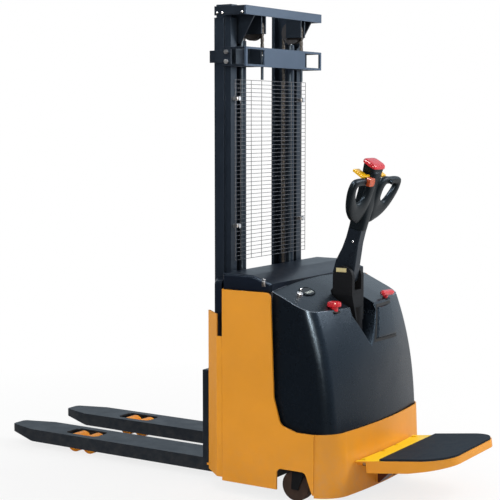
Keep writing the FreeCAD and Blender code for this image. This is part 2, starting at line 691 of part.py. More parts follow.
def top_tie():
    """Upper crossbar of the fixed mast, with windows, side arms, ribs and chain shelves."""
    parts = [box(TOWER_BACK, BEAM_REAR, -BEAM_HALF, BEAM_HALF, TOP_TIE_Z0, TOP_TIE_Z1)]
    tools = []
    arm_front = OUTER_FRONT + STIFFENER_W
    rib_y = CHAIN_Y + ANCHOR_D
    lug_z = TOP_TIE_Z0 + TIE_LUG_RISE
    for side in (-1, 1):
        parts.append(box(OUTER_FRONT - TIE_LUG_REACH, arm_front + 1, side * (OUTER_HALF + STIFFENER_T), side * BEAM_HALF,
                         lug_z, lug_z + TIE_LUG_H))
        tools.append(box(TOWER_BACK - 1, BEAM_REAR + 1, side * TIE_WINDOW_IN, side * TIE_WINDOW_OUT,
                         TOP_TIE_Z0 + TIE_STRAP, TOP_TIE_Z1 - TIE_STRAP))
        parts.append(box(arm_front, BEAM_REAR, side * (BEAM_HALF - BEAM_T), side * BEAM_HALF, TOP_TIE_Z0, TOP_TIE_Z1))
        parts.append(box(arm_front, OUTER_BACK, side * OUTER_HALF, side * BEAM_HALF, TOP_TIE_Z0, TOP_TIE_Z1))
        tools.append(box(BRACKET_FRONT, TOWER_BACK, side * (BEAM_HALF - BEAM_T - 1), side * (BEAM_HALF + 1),
                         TOP_TIE_Z0 + TIE_STRAP, TOP_TIE_Z1 - TIE_STRAP))
        parts.append(box(BRACKET_FRONT, TOWER_BACK + 1, side * rib_y, side * (rib_y + TIE_RIB_T), TOP_TIE_Z0, TOP_TIE_Z1))
        parts.append(box(BRACKET_FRONT, BRACKET_FRONT + BEAM_T, side * rib_y, side * SPACER_Y1, TOP_TIE_Z0, TOP_TIE_Z1))
        parts.append(box(OUTER_BACK, BRACKET_FRONT + 1, side * SPACER_Y0, side * SPACER_Y1, TOP_TIE_Z0, TOP_TIE_Z1))
        parts.append(box(BRACKET_FRONT, TOWER_BACK + 1, side * (CHAIN_Y - ANCHOR_D), side * (rib_y + 1),
                         SHELF_Z, SHELF_Z + SHELF_T))
        tools.append(rod(ANCHOR_D, V(CHAIN_ANCHOR_X, side * CHAIN_Y, SHELF_Z - 1),
                         V(CHAIN_ANCHOR_X, side * CHAIN_Y, SHELF_Z + SHELF_T + 1)))
    return cut(fuse(parts), tools)


def low_tie():
    """Lower crossbar of the fixed mast, stood off behind the lift cylinders."""
    parts = [box(BRACKET_FRONT, BRACKET_FRONT + BEAM_T, -SPACER_Y1, SPACER_Y1, LOW_TIE_Z0, LOW_TIE_Z1)]
    for side in (-1, 1):
        parts.append(box(OUTER_BACK, BRACKET_FRONT + 1, side * SPACER_Y0, side * SPACER_Y1, LOW_TIE_Z0, LOW_TIE_Z1))
    return fuse(parts)


def inner_low_tie():
    """Plate that joins the feet of the lifting channels behind the carriage."""
    front = SIDE_PLATE_BACK + MAST_GAP
    return box(front, INNER_BACK, -INNER_IN, INNER_IN, INNER_BOTTOM, INNER_BOTTOM + PLATE_TIE_H)


PLATE_TIE_H = 42.0


def lift_cylinder():
    """Lift cylinder barrel with base and gland, on the +Y side."""
    low = V(CYL_X, CYL_Y, FLOOR_Z)
    barrel = rod(CYL_D, low, V(CYL_X, CYL_Y, CYL_TOP))
    gland = rod(GLAND_D, V(CYL_X, CYL_Y, CYL_TOP), V(CYL_X, CYL_Y, CYL_TOP + GLAND_H))
    bore = rod(CYL_BORE, V(CYL_X, CYL_Y, FLOOR_Z + CYL_BASE), V(CYL_X, CYL_Y, CYL_TOP))
    throat = rod(ROD_D + 2 * RUN_FIT, V(CYL_X, CYL_Y, CYL_TOP - 1), V(CYL_X, CYL_Y, CYL_TOP + GLAND_H + 1))
    return cut(fuse([barrel, gland]), [bore, throat])


def piston_rod():
    """Piston rod that pushes the top crossbar, on the +Y side."""
    return rod(ROD_D, V(CYL_X, CYL_Y, ROD_BOTTOM), V(CYL_X, CYL_Y, TOP_BEAM_Z1 - BEAM_T))


def mesh_guard():
    """Wire guard behind the mast with its four clips."""
    wires = []
    rows = int((GUARD_Z1 - GUARD_Z0) / WIRE_PITCH_Z)
    for i in range(rows + 1):
        z = GUARD_Z0 + i * WIRE_PITCH_Z
        wires.append(box(GUARD_X - WIRE, GUARD_X, -GUARD_HALF, GUARD_HALF, z, z + WIRE))
    columns = int(GUARD_HALF / WIRE_PITCH_Y)
    top = GUARD_Z0 + rows * WIRE_PITCH_Z + WIRE
    for i in range(-columns, columns + 1):
        y = i * WIRE_PITCH_Y
        wires.append(box(GUARD_X - 1, GUARD_X + WIRE - 1, y - WIRE / 2, y + WIRE / 2, GUARD_Z0, top))
    for y in (-CLIP_Y, CLIP_Y):
        for z in CLIP_ZS:
            clip = box(OUTER_BACK, GUARD_X, y - CLIP_W / 2, y + CLIP_W / 2, z - CLIP_H / 2, z + CLIP_H / 2)
            wires.append(clip)
    return fuse(wires)


def mast_bolts():
    """Hexagon screws of the upper crossbar arms and the guard clips."""
    bolts = []
    zs = (TOP_TIE_Z0 + (TOP_TIE_Z1 - TOP_TIE_Z0) / 4, TOP_TIE_Z1 - (TOP_TIE_Z1 - TOP_TIE_Z0) / 4)
    for side in (-1, 1):
        for z in zs:
            bolts.append(hexagon(BOLT_AF, V(TIE_BOLT_X - BOLT_AF / 2, side * BEAM_HALF, z),
                                 V(TIE_BOLT_X - BOLT_AF / 2, side * (BEAM_HALF + BOLT_HEAD), z)))
        for z in CLIP_ZS:
            bolts.append(hexagon(BOLT_AF, V(GUARD_X, side * CLIP_Y, z), V(GUARD_X + BOLT_HEAD, side * CLIP_Y, z)))
    return bolts


# ---- fork carriage --------------------------------------------------------------------------
SIDE_PLATE_Y1 = INNER_IN - CARRIAGE_GAP
SIDE_PLATE_Y0 = SIDE_PLATE_Y1 - SIDE_PLATE_T
CROSS_BACK = SHANK_BACK + CROSS_T


def fork_carriage():
    """Welded carriage: cross plates, side plates, roller stubs and chain lugs."""
    parts = []
    for z0 in (CARRIAGE_BOTTOM, CARRIAGE_TOP - CROSS_H):
        parts.append(box(SHANK_BACK, CROSS_BACK, -CROSS_HALF, CROSS_HALF, z0, z0 + CROSS_H))
    lug_back = CHAIN_FRONT_X + CHAIN_T
    for side in (-1, 1):
        parts.append(box(CROSS_BACK - 1, SIDE_PLATE_BACK, side * SIDE_PLATE_Y0, side * SIDE_PLATE_Y1,
                         CARRIAGE_BOTTOM, CARRIAGE_TOP))
        parts.append(box(SHANK_BACK, CROSS_BACK, side * SIDE_PLATE_Y0, side * SIDE_PLATE_Y1, CARRIAGE_BOTTOM, CARRIAGE_TOP))
        for z in (LOWER_ROLLER_Z, UPPER_ROLLER_Z):
            parts.append(rod(ROLLER_AXLE_D, V(CARRIAGE_ROLLER_X, side * (SIDE_PLATE_Y0 + 2), z),
                             V(CARRIAGE_ROLLER_X, side * CARRIAGE_ROLLER_Y1, z)))
        arm_back = CHAIN_FRONT_X
        parts.append(box(arm_back - CHAIN_W, arm_back, side * (CHAIN_Y - CHAIN_W / 2), side * (SIDE_PLATE_Y0 + 1),
                         CLEVIS_Z, CLEVIS_Z + CLEVIS_H))
        parts.append(box(arm_back - 1, lug_back, side * (CHAIN_Y - CHAIN_W / 2), side * (CHAIN_Y + CHAIN_W / 2),
                         CLEVIS_Z, CLEVIS_Z + CLEVIS_H))
    return fuse(parts)


# ---- chassis --------------------------------------------------------------------------------
PANEL_IN = CHASSIS_HALF - PANEL_T


def plan_wire(front, half, side_end, corner_x, corner_y, rear_x, z):
    """Closed plan outline with rounded rear corners and a bowed rear edge."""
    mid_x = side_end + (corner_x - side_end) * math.sqrt(0.5)
    mid_y = corner_y + (half - corner_y) * math.sqrt(0.5)
    edges = [
        Part.LineSegment(V(front, -half, z), V(side_end, -half, z)).toShape(),
        Part.Arc(V(side_end, -half, z), V(mid_x, -mid_y, z), V(corner_x, -corner_y, z)).toShape(),
        Part.Arc(V(corner_x, -corner_y, z), V(rear_x, 0, z), V(corner_x, corner_y, z)).toShape(),
        Part.Arc(V(corner_x, corner_y, z), V(mid_x, mid_y, z), V(side_end, half, z)).toShape(),
        Part.LineSegment(V(side_end, half, z), V(front, half, z)).toShape(),
        Part.LineSegment(V(front, half, z), V(front, -half, z)).toShape(),
    ]
    return Part.Wire(edges)


def skirt_body(inset, z0, z1):
    """Solid inside the rear skirt, shrunk by inset."""
    wires = []
    for z in (z0, z1):
        share = (z - SKIRT_Z0) / (PANEL_LOW_TOP - SKIRT_Z0)
        rear = SKIRT_REAR_LOW + share * (SKIRT_REAR_TOP - SKIRT_REAR_LOW) - inset
        wires.append(plan_wire(HOOD_FRONT, CHASSIS_HALF - inset, SKIRT_SIDE_END, rear - SKIRT_CORNER_BACK,
                               SKIRT_CORNER_IN - inset / 2, rear, z))
    return Part.makeLoft(wires, True, True)


HINGE_LUG_IN = 40.0


def hinge_lugs():
    """Ears behind the skirt that hold the platform hinge pin, and the platform's landing stops."""
    ears = []
    for y in LUG_YS:
        for side in (-1, 1):
            centre = side * y
            block = box(HINGE_X - HINGE_LUG_IN, HINGE_X, centre - LUG_T / 2, centre + LUG_T / 2,
                        HINGE_Z - KNUCKLE_D / 2, HINGE_Z)
            eye = rod(KNUCKLE_D, V(HINGE_X, centre - LUG_T / 2, HINGE_Z), V(HINGE_X, centre + LUG_T / 2, HINGE_Z))
            ears += [block, eye]
    for side in (-1, 1):
        ears.append(prism_y(STOP_PROFILE, side * STOP_YS[0], side * STOP_YS[1]))
    return ears


def rear_skirt():
    """Bowed steel skirt across the rear with the hinge ears."""
    shell = skirt_body(0, SKIRT_Z0, PANEL_LOW_TOP).cut(skirt_body(SKIRT_T, SKIRT_Z0, PANEL_LOW_TOP))
    ahead = box(HOOD_FRONT - 1, PANEL_LOW_BACK, -CHASSIS_HALF - 1, CHASSIS_HALF + 1, SKIRT_Z0 - 1, PANEL_LOW_TOP + 1)
    shell = shell.cut(ahead)
    whole = fuse([shell] + hinge_lugs())
    hole = rod(HINGE_PIN_D, V(HINGE_X, -CHASSIS_HALF, HINGE_Z), V(HINGE_X, CHASSIS_HALF, HINGE_Z))
    return cut(whole, [hole, skirt_body(SKIRT_T + 4, SKIRT_Z0, PANEL_LOW_TOP)])


def side_panel():
    """Steel side panel with its swept rear edge and wheel arch, on the +Y side."""
    outline = [(PANEL_FRONT, PANEL_BOTTOM), (PANEL_FRONT, PANEL_TOP), (PANEL_BACK, PANEL_TOP)]
    outline += [(SWEEP_X1, SWEEP_Z1), (SWEEP_X2, SWEEP_Z2), (SWEEP_X3, PANEL_LOW_TOP)]
    outline += [(PANEL_LOW_BACK, PANEL_LOW_TOP), (PANEL_LOW_BACK, PANEL_BOTTOM)]
    plate = prism_y(outline, PANEL_IN, CHASSIS_HALF)
    corner = (PANEL_BACK, PANEL_TOP)
    plate = fillet(plate, PANEL_CORNER_R, lambda c, e: abs(c.x - corner[0]) < 1 and abs(c.z - corner[1]) < 1)
    bends = ((SWEEP_X1, SWEEP_Z1), (SWEEP_X2, SWEEP_Z2), (SWEEP_X3, PANEL_LOW_TOP))
    for x, z in bends:
        plate = fillet(plate, PANEL_CORNER_R * 1.6, lambda c, e: abs(c.x - x) < 1 and abs(c.z - z) < 1)
    arch = prism_y([(ARCH_X0, PANEL_BOTTOM - ARCH_R), (ARCH_X0, ARCH_TOP), (ARCH_X1_TOP, ARCH_TOP), (ARCH_X1, PANEL_BOTTOM),
                    (ARCH_X1, PANEL_BOTTOM - ARCH_R)], PANEL_IN - 1, CHASSIS_HALF + 1)
    arch = fillet(arch, ARCH_R, lambda c, e: abs(c.z - ARCH_TOP) < 1 and abs(c.y - CHASSIS_HALF + PANEL_T / 2) < 1)
    return cut(plate, [arch])


def chassis_frame():
    """Welded frame: floor, corner pillars, rear wall, raised deck and caster blocks."""
    deck_inset = SKIRT_T + CURVE_GAP
    floor = prism_z([(FLOOR_FRONT, -PILLAR_IN), (PILLAR_FRONT, -PILLAR_IN), (PILLAR_BACK, -PANEL_IN),
                     (REAR_WALL_X + WALL_T, -PANEL_IN), (REAR_WALL_X + WALL_T, PANEL_IN), (PILLAR_BACK, PANEL_IN),
                     (PILLAR_FRONT, PILLAR_IN), (FLOOR_FRONT, PILLAR_IN)], LEG_TOP, FLOOR_Z)
    deck = skirt_body(deck_inset, SKIRT_Z0, PANEL_LOW_TOP)
    deck = deck.common(box(REAR_WALL_X, CHASSIS_HALF * 2, -PANEL_IN, PANEL_IN, DECK_Z, DECK_Z + DECK_T))
    deck_link = box(REAR_WALL_X, HOOD_FRONT + 1, -WALL_HALF, WALL_HALF, DECK_Z, DECK_Z + DECK_T)
    wall = box(REAR_WALL_X, REAR_WALL_X + WALL_T, -WALL_HALF, WALL_HALF, LEG_TOP, COVER_SEAT)
    front_wall = box(FRONT_WALL_X, FRONT_WALL_X + WALL_T, -WALL_HALF, WALL_HALF, LEG_TOP, COVER_SEAT)
    parts = [floor, deck, deck_link, wall, front_wall]
    for side in (-1, 1):
        parts.append(prism_z([(PILLAR_FRONT, side * PILLAR_IN), (PILLAR_BACK, side * CHASSIS_HALF),
                              (PILLAR_BACK, side * (CHASSIS_HALF - PANEL_T)),
                              (PILLAR_FRONT + PANEL_T, side * (PILLAR_IN - PANEL_T / 2))], PILLAR_BOTTOM, PILLAR_TOP))
        parts.append(box(CASTER_X - CASTER_BLOCK / 2, CASTER_X + CASTER_BLOCK / 2, side * (CASTER_Y - CASTER_BLOCK / 2),
                         side * (CASTER_Y + CASTER_BLOCK / 2), CASTER_TOP_Z + CASTER_PLATE_T + TRACK_GAP, DECK_Z))
    tools = [rod(TURN_D + 2 * TRACK_GAP, V(STEER_X, STEER_Y, DECK_Z - 1), V(STEER_X, STEER_Y, DECK_Z + DECK_T + 1)),
             rod(PIPE_HOLE_D, V(FRONT_WALL_X - 1, PUMP_Y, PIPE_Z), V(REAR_WALL_X + WALL_T + 1, PUMP_Y, PIPE_Z)),
             rod(PIPE_HOLE_D, V(PUMP_X, PUMP_Y, DECK_Z - 1), V(PUMP_X, PUMP_Y, DECK_Z + DECK_T + 1))]
    for side in (-1, 1):
        stem_top = CASTER_TOP_Z + CASTER_PLATE_T + CASTER_STEM_H + TRACK_GAP
        tools.append(rod(CASTER_STEM_D + 2 * RUN_FIT, V(CASTER_X, side * CASTER_Y, CASTER_TOP_Z),
                         V(CASTER_X, side * CASTER_Y, stem_top)))
    return cut(fuse(parts), tools)


PIPE_Z = FLOOR_Z + PIPE_RISE


# ---- hood and covers ------------------------------------------------------------------------
SLOPE_UP = V(math.sin(math.radians(HOOD_SLOPE)), 0, math.cos(math.radians(HOOD_SLOPE)))
SLOPE_ALONG = V(math.cos(math.radians(HOOD_SLOPE)), 0, -math.sin(math.radians(HOOD_SLOPE)))


def hood_body(inset):
    """Solid inside the rear hood, shrunk by inset, before its top is cut to the slope."""
    wires = []
    for i, z in enumerate(HOOD_Z):
        wires.append(plan_wire(HOOD_FRONT + inset, HOOD_HALF[i] - inset, HOOD_SIDE_END[i], HOOD_CORNER[i] - inset,
                               HOOD_CORNER_IN - inset / 2, HOOD_REAR[i] - inset, z))
    return Part.makeLoft(wires, True, False)


def hood_top_z(x):
    """Height of the sloping hood top."""
    return HOOD_TOP_FRONT - (x - HOOD_FRONT) * math.tan(math.radians(HOOD_SLOPE))


def above_hood(drop):
    """Everything over the sloping, crowned hood top, lowered by drop."""
    front = HOOD_FRONT - 50
    span = SKIRT_REAR_LOW + 100 - front
    start = V(front, 0, hood_top_z(front) - drop) - SLOPE_UP * HOOD_CROWN_R
    crown = Part.makeCylinder(HOOD_CROWN_R, span * 2, start, SLOPE_ALONG)
    block = box(front, front + span, -CHASSIS_HALF, CHASSIS_HALF, HOOD_Z[0] + HOOD_SLOPE * 10, HOOD_Z[-1] + 50)
    return block.cut(crown)


def hood_solid(inset):
    """Hood form with the sloping top."""
    return hood_body(inset).cut(above_hood(inset))


def tiller_well(extra):
    """Well for the steering column, open to the rear, with a V-shaped foot."""
    radius = WELL_R + extra
    top = HOOD_Z[-1]
    back = SKIRT_REAR_LOW + 50
    tip = WELL_TIP_Z - extra
    low = WELL_Z - extra
    round_part = rod(2 * radius, V(STEER_X, STEER_Y, tip), V(STEER_X, STEER_Y, top))
    rear_part = box(STEER_X, back, STEER_Y - radius, STEER_Y + radius, tip, top)
    ring = [V(STEER_X - 2 * radius, STEER_Y + y, z) for y, z in
            ((-radius, top), (-radius, low), (0, tip), (radius, low), (radius, top))]
    v_form = Part.Face(Part.makePolygon(ring + ring[:1])).extrude(V(back - STEER_X + 2 * radius, 0, 0))
    return round_part.fuse(rear_part).common(v_form)


def rear_hood():
    """Moulded hood over the drive, with the well for the steering column."""
    outer = hood_solid(0).cut(tiller_well(0))
    shell = outer.cut(hood_solid(HOOD_T).cut(tiller_well(HOOD_T)))
    front_open = box(HOOD_FRONT - 1, HOOD_FRONT + HOOD_T + 1, -WALL_HALF + HOOD_T, WALL_HALF - HOOD_T,
                     HOOD_Z[0] - 1, hood_top_z(HOOD_FRONT) - HOOD_OPEN_DROP)
    base_open = hood_body(HOOD_T).common(box(HOOD_FRONT + HOOD_T, SKIRT_REAR_LOW, -WALL_HALF, WALL_HALF,
                                             HOOD_Z[0] - 1, HOOD_Z[0] + HOOD_T))
    holes = [control_hole(STOP_X, STOP_Y, STOP_STEM_D), control_hole(MAIN_X, MAIN_Y, MAIN_STEM_D),
             control_hole(KEY_X, KEY_Y, KEY_BARREL_D),
             rod(COLUMN_D + 2 * COLUMN_GAP, V(STEER_X, STEER_Y, HOOD_Z[0]), V(STEER_X, STEER_Y, HOOD_Z[-1]))]
    return cut(shell, [front_open, base_open] + holes)


def battery_cover():
    """Lid over the battery with a turned-down rim."""
    def form(inset):
        back = HOOD_FRONT - COVER_SEAM - inset
        front = FRONT_WALL_X + inset
        end_z = HOOD_TOP_FRONT + 3 - inset
        low = COVER_SEAT - (1 if inset else 0)
        points = [(front, low), (front, COVER_TOP - inset), (COVER_FLAT, COVER_TOP - inset), (back, end_z), (back, low)]
        return prism_y(points, -COVER_HALF + inset, COVER_HALF - inset)
    outer = form(0)
    outer = fillet(outer, COVER_R, lambda c, e: c.z > COVER_SEAT + COVER_R and (abs(c.y) > COVER_HALF - 1))
    return cut(outer, [form(COVER_T)])


def mast_base_cover():
    """Moulded cover between the mast foot and the side panel, on the +Y side."""
    back = FRONT_WALL_X - COVER_SEAM
    inner = OUTER_HALF + STIFFENER_T + COVER_SEAM
    plan = [(OUTER_FRONT + 6, inner), (BASE_COVER_NOSE, COVER_HALF), (back, COVER_HALF), (back, inner)]
    block = prism_z(plan, PILLAR_TOP, BASE_COVER_TOP)
    block = fillet(block, COVER_R, lambda c, e: c.z > BASE_COVER_TOP - 1 and c.y > inner + 1 and c.x < back - 1)
    wall = [(OUTER_FRONT + 6 + COVER_T, inner - 1), (BASE_COVER_NOSE + COVER_T, COVER_HALF - COVER_T),
            (back + 1, COVER_HALF - COVER_T), (back + 1, inner - 1)]
    hollow = prism_z(wall, PILLAR_TOP - 1, BASE_COVER_TOP - COVER_T)
    return cut(block, [hollow])


def rear_hatch():
    """Service panel that follows the hood's rear face beside the steering column."""
    proud = hood_body(-HATCH_PROUD).cut(hood_body(-CURVE_GAP))
    window = box(STEER_X, SKIRT_REAR_LOW + 50, HATCH_Y0, HATCH_Y1, HATCH_Z0, HATCH_Z1)
    return proud.common(window)


# ---- controls on the sloping hood -----------------------------------------------------------
def hood_turn(y):
    """Rotation from upright to square with the hood top, y off the centre."""
    roll = -math.degrees(math.asin(y / HOOD_CROWN_R))
    return FreeCAD.Rotation(Y, HOOD_SLOPE).multiply(FreeCAD.Rotation(X, roll))


def on_hood(x, y, height):
    """Point a given height over the sloping, crowned hood top."""
    drop = HOOD_CROWN_R - math.sqrt(HOOD_CROWN_R ** 2 - y ** 2)
    foot = V(x, y, hood_top_z(x) - drop / math.cos(math.radians(HOOD_SLOPE)))
    return foot + hood_turn(y).multVec(Z) * height


def tilted(shape, x, y):
    """Stand a shape that was drawn about the origin on the sloping hood top."""
    placed = shape.copy()
    turn = hood_turn(y)
    placed.Placement = FreeCAD.Placement(on_hood(x, y, SEAT_GAP), turn).multiply(placed.Placement)
    return placed


def control_hole(x, y, diameter):
    """Hole through the hood for a control's stem."""
    return rod(diameter + 2 * CURVE_GAP, on_hood(x, y, -4 * HOOD_T), on_hood(x, y, 4 * HOOD_T))


def emergency_stop():
    """Red mushroom button."""
    stem = rod(STOP_STEM_D, V(0, 0, -SINK), V(0, 0, STOP_STEM_H))
    cap = rod(STOP_D, V(0, 0, STOP_STEM_H), V(0, 0, STOP_STEM_H + STOP_CAP_H))
    cap = fillet(cap, 5, lambda c, e: c.z > STOP_STEM_H + STOP_CAP_H - 1)
    return tilted(fuse([stem, cap]), STOP_X, STOP_Y)


def main_switch():
    """Red pull handle of the battery disconnector."""
    stem = rod(MAIN_STEM_D, V(0, 0, -SINK - MAIN_TRAVEL), V(0, 0, MAIN_STEM_H))
    grip = box(-MAIN_GRIP_W / 2, MAIN_GRIP_W / 2, -MAIN_GRIP_L / 2, MAIN_GRIP_L / 2,
               MAIN_STEM_H - MAIN_GRIP_H / 2, MAIN_STEM_H + MAIN_GRIP_H / 2)
    grip = fillet(grip, 5, lambda c, e: True)
    return tilted(fuse([stem, grip]), MAIN_X, MAIN_Y)


def dash_instruments():
    """Key switch barrel and battery gauge."""
    barrel = rod(KEY_BARREL_D, V(0, 0, -SINK), V(0, 0, KEY_BARREL_H))
    hole = rod(KEY_D + 2 * RUN_FIT, V(0, 0, -SINK + 2), V(0, 0, KEY_BARREL_H + 1))
    barrel = cut(barrel, [hole])
    gauge = box(-GAUGE_L / 2, GAUGE_L / 2, -GAUGE_W / 2, GAUGE_W / 2, 0, GAUGE_H)
    gauge = fillet(gauge, 3, lambda c, e: c.z > 0.5 and c.z < GAUGE_H - 0.5)
    return [tilted(barrel, KEY_X, KEY_Y), tilted(gauge, GAUGE_X, GAUGE_Y)]


def ignition_key():
    """Key with a flat bow."""
    blade = rod(KEY_D, V(0, 0, -SINK + 3), V(0, 0, KEY_BARREL_H + 2))
    bow = box(-KEY_BOW_T / 2, KEY_BOW_T / 2, -KEY_BOW_W / 2, KEY_BOW_W / 2, KEY_BARREL_H + TRACK_GAP,
              KEY_BARREL_H + KEY_BOW_L)
    bow = fillet(bow, 7, lambda c, e: abs(c.x) < 0.1 and c.z > KEY_BARREL_H + KEY_BOW_L - 1 and abs(c.y) > 5)
    return tilted(fuse([blade, bow]), KEY_X, KEY_Y)


# ---- pieces under the hood ------------------------------------------------------------------
def battery():
    """Traction battery in its tray."""
    tray = box(BATTERY_X0, BATTERY_X1, -BATTERY_HALF, BATTERY_HALF, FLOOR_Z + BATTERY_LIFT, BATTERY_TOP)
    tray = fillet(tray, 8, lambda c, e: abs(e.Vertexes[0].Point.z - e.Vertexes[1].Point.z) > 1)
    bearers = []
    for side in (-1, 1):
        y = side * BATTERY_HALF * 0.8
        bearers.append(box(BATTERY_X0 + 10, BATTERY_X1 - 10, y - 20, y + 20, FLOOR_Z, FLOOR_Z + BATTERY_LIFT))
    return [tray] + bearers


def hydraulic_power_pack():
    """Oil tank, pump motor with its valve block, and the pipe to both cylinders."""
    deck_top = DECK_Z + DECK_T
    tank = box(TANK_X0, TANK_X1, TANK_Y0, TANK_Y1, deck_top, TANK_TOP)
    tank = fillet(tank, 12, lambda c, e: abs(e.Vertexes[0].Point.z - e.Vertexes[1].Point.z) > 1)
    block_h = PUMP_D / 2
    block = box(PUMP_X - PUMP_D / 2, PUMP_X + PUMP_D / 2, PUMP_Y - PUMP_D / 2, TANK_Y0, deck_top, deck_top + block_h)
    motor = rod(PUMP_D, V(PUMP_X, PUMP_Y, deck_top + block_h), V(PUMP_X, PUMP_Y, deck_top + block_h + PUMP_H))
    cross_x = CYL_X + CYL_D / 2 + PIPE_D / 2 + PIPE_STAND
    runs = [rod(PIPE_D, V(cross_x, -CYL_Y, PIPE_Z), V(cross_x, CYL_Y, PIPE_Z)),
            rod(PIPE_D, V(cross_x, PUMP_Y, PIPE_Z), V(PUMP_X, PUMP_Y, PIPE_Z)),
            rod(PIPE_D, V(PUMP_X, PUMP_Y, PIPE_Z), V(PUMP_X, PUMP_Y, deck_top))]
    for x, y in ((cross_x, -CYL_Y), (cross_x, CYL_Y), (cross_x, PUMP_Y), (PUMP_X, PUMP_Y)):
        runs.append(box(x - ELBOW_W / 2, x + ELBOW_W / 2, y - ELBOW_W / 2, y + ELBOW_W / 2,
                        PIPE_Z - ELBOW_W / 2, PIPE_Z + ELBOW_W / 2))
    for side in (-1, 1):
        runs.append(rod(PIPE_D, V(CYL_X + CYL_D / 2, side * CYL_Y, PIPE_Z), V(cross_x, side * CYL_Y, PIPE_Z)))
    barrels = [rod(CYL_D + 2 * RUN_FIT, V(CYL_X, s * CYL_Y, FLOOR_Z), V(CYL_X, s * CYL_Y, CYL_TOP)) for s in (-1, 1)]
    pipes = fuse(runs).cut(barrels)
    return [tank, fuse([block, motor]), pipes]


def controller():
    """Motor controller with cooling ribs."""
    deck_top = DECK_Z + DECK_T
    base = box(CTRL_X0, CTRL_X1, CTRL_Y0, CTRL_Y1, deck_top, deck_top + CTRL_H * 0.6)
    ribs = []
    count = 7
    pitch = (CTRL_Y1 - CTRL_Y0) / count
    for i in range(count):
        y = CTRL_Y0 + (i + 0.5) * pitch
        ribs.append(box(CTRL_X0 + 6, CTRL_X1 - 6, y - 4, y + 4, deck_top + CTRL_H * 0.6 - 1, deck_top + CTRL_H))
    return fuse([base] + ribs)


# ---- drive unit -----------------------------------------------------------------------------
DRIVE_Z = DRIVE_D / 2
TURN_TOP = DECK_Z + TURN_H


def drive_gearbox():
    """Turntable and gearbox that hold the drive wheel on one side."""
    table = rod(TURN_D, V(STEER_X, STEER_Y, DECK_Z), V(STEER_X, STEER_Y, TURN_TOP))
    y0 = STEER_Y + DRIVE_W / 2 + CURVE_GAP * 4
    y1 = y0 + GEAR_T
    hub = rod(GEAR_D, V(STEER_X, y0, DRIVE_Z), V(STEER_X, y1, DRIVE_Z))
    arm = box(STEER_X - GEAR_ARM_W / 2, STEER_X + GEAR_ARM_W / 2, y0, y1, DRIVE_Z, DECK_Z)
    saddle = rod(TURN_D * 0.9, V(STEER_X, STEER_Y, DRIVE_D + 6), V(STEER_X, STEER_Y, DECK_Z))
    axle = rod(DRIVE_AXLE_D, V(STEER_X, STEER_Y - DRIVE_W / 2, DRIVE_Z), V(STEER_X, y0 + 1, DRIVE_Z))
    return fuse([table, hub, arm, saddle, axle])


def drive_motor():
    """Upright drive motor on the turntable."""
    body = rod(MOTOR_D, V(STEER_X, STEER_Y, TURN_TOP), V(STEER_X, STEER_Y, TURN_TOP + MOTOR_H))
    return fillet(body, 8, lambda c, e: c.z > TURN_TOP + MOTOR_H - 1)


def drive_wheel():
    """Drive wheel: cast hub and bonded tyre."""
    a = V(STEER_X, STEER_Y - DRIVE_W / 2, DRIVE_Z)
    b = V(STEER_X, STEER_Y + DRIVE_W / 2, DRIVE_Z)
    hub_d = DRIVE_D - 2 * TYRE_T
    hub = cut(rod(hub_d, a, b), [rod(DRIVE_AXLE_D + 2 * RUN_FIT, a - Y, b + Y)])
    tyre = rod(DRIVE_D, a, b)
    tyre = tyre.makeFillet(5, [e for e in tyre.Edges if e.Curve.TypeId == "Part::GeomCircle"])
    tyre = cut(tyre, [rod(hub_d, a - Y, b + Y)])
    return [hub, tyre]


# ---- casters --------------------------------------------------------------------------------
CASTER_WX = CASTER_X - CASTER_TRAIL
CASTER_CHEEK_Y = CASTER_W / 2 + CASTER_SIDE_GAP


def caster_fork(side):
    """Caster yoke with stem and wheel axle."""
    y = side * CASTER_Y
    plate = rod(CASTER_TOP_D, V(CASTER_X, y, CASTER_TOP_Z), V(CASTER_X, y, CASTER_TOP_Z + CASTER_PLATE_T))
    stem_low = CASTER_TOP_Z + CASTER_PLATE_T
    stem = rod(CASTER_STEM_D, V(CASTER_X, y, stem_low - 1), V(CASTER_X, y, stem_low + CASTER_STEM_H))
    wheel_z = CASTER_D / 2
    parts = [plate, stem]
    for s in (-1, 1):
        near = y + s * CASTER_CHEEK_Y
        outline = [(CASTER_WX - 16, wheel_z - 14), (CASTER_WX + 16, wheel_z - 14), (CASTER_X + 30, CASTER_TOP_Z + 1),
                   (CASTER_WX - 12, CASTER_TOP_Z + 1)]
        parts.append(prism_y(outline, near, near + s * CASTER_CHEEK))
    bridge = box(CASTER_WX - 12, CASTER_X + 30, y - CASTER_CHEEK_Y - CASTER_CHEEK, y + CASTER_CHEEK_Y + CASTER_CHEEK,
                 CASTER_TOP_Z, CASTER_TOP_Z + CASTER_PLATE_T)
    reach = CASTER_CHEEK_Y + CASTER_CHEEK
    axle = rod(CASTER_AXLE_D, V(CASTER_WX, y - reach, wheel_z), V(CASTER_WX, y + reach, wheel_z))
    return [cut(fuse(parts + [bridge]), [axle]), axle]


def caster_wheel(side):
    """Caster wheel with tyre."""
    y = side * CASTER_Y
    z = CASTER_D / 2
    a = V(CASTER_WX, y - CASTER_W / 2, z)
    b = V(CASTER_WX, y + CASTER_W / 2, z)
    wheel = rod(CASTER_D, a, b)
    wheel = wheel.makeFillet(5, [e for e in wheel.Edges if e.Curve.TypeId == "Part::GeomCircle"])
    return cut(wheel, [rod(CASTER_AXLE_D + 2 * RUN_FIT, a - Y, b + Y)])


# ---- tiller ---------------------------------------------------------------------------------
PIVOT = V(PIVOT_X, STEER_Y, PIVOT_Z)


def leaned(shape):
    """Lean a tiller piece drawn upright about the tilt pivot."""
    placed = shape.copy()
    placed.rotate(PIVOT, Y, TILLER_LEAN)
    return placed


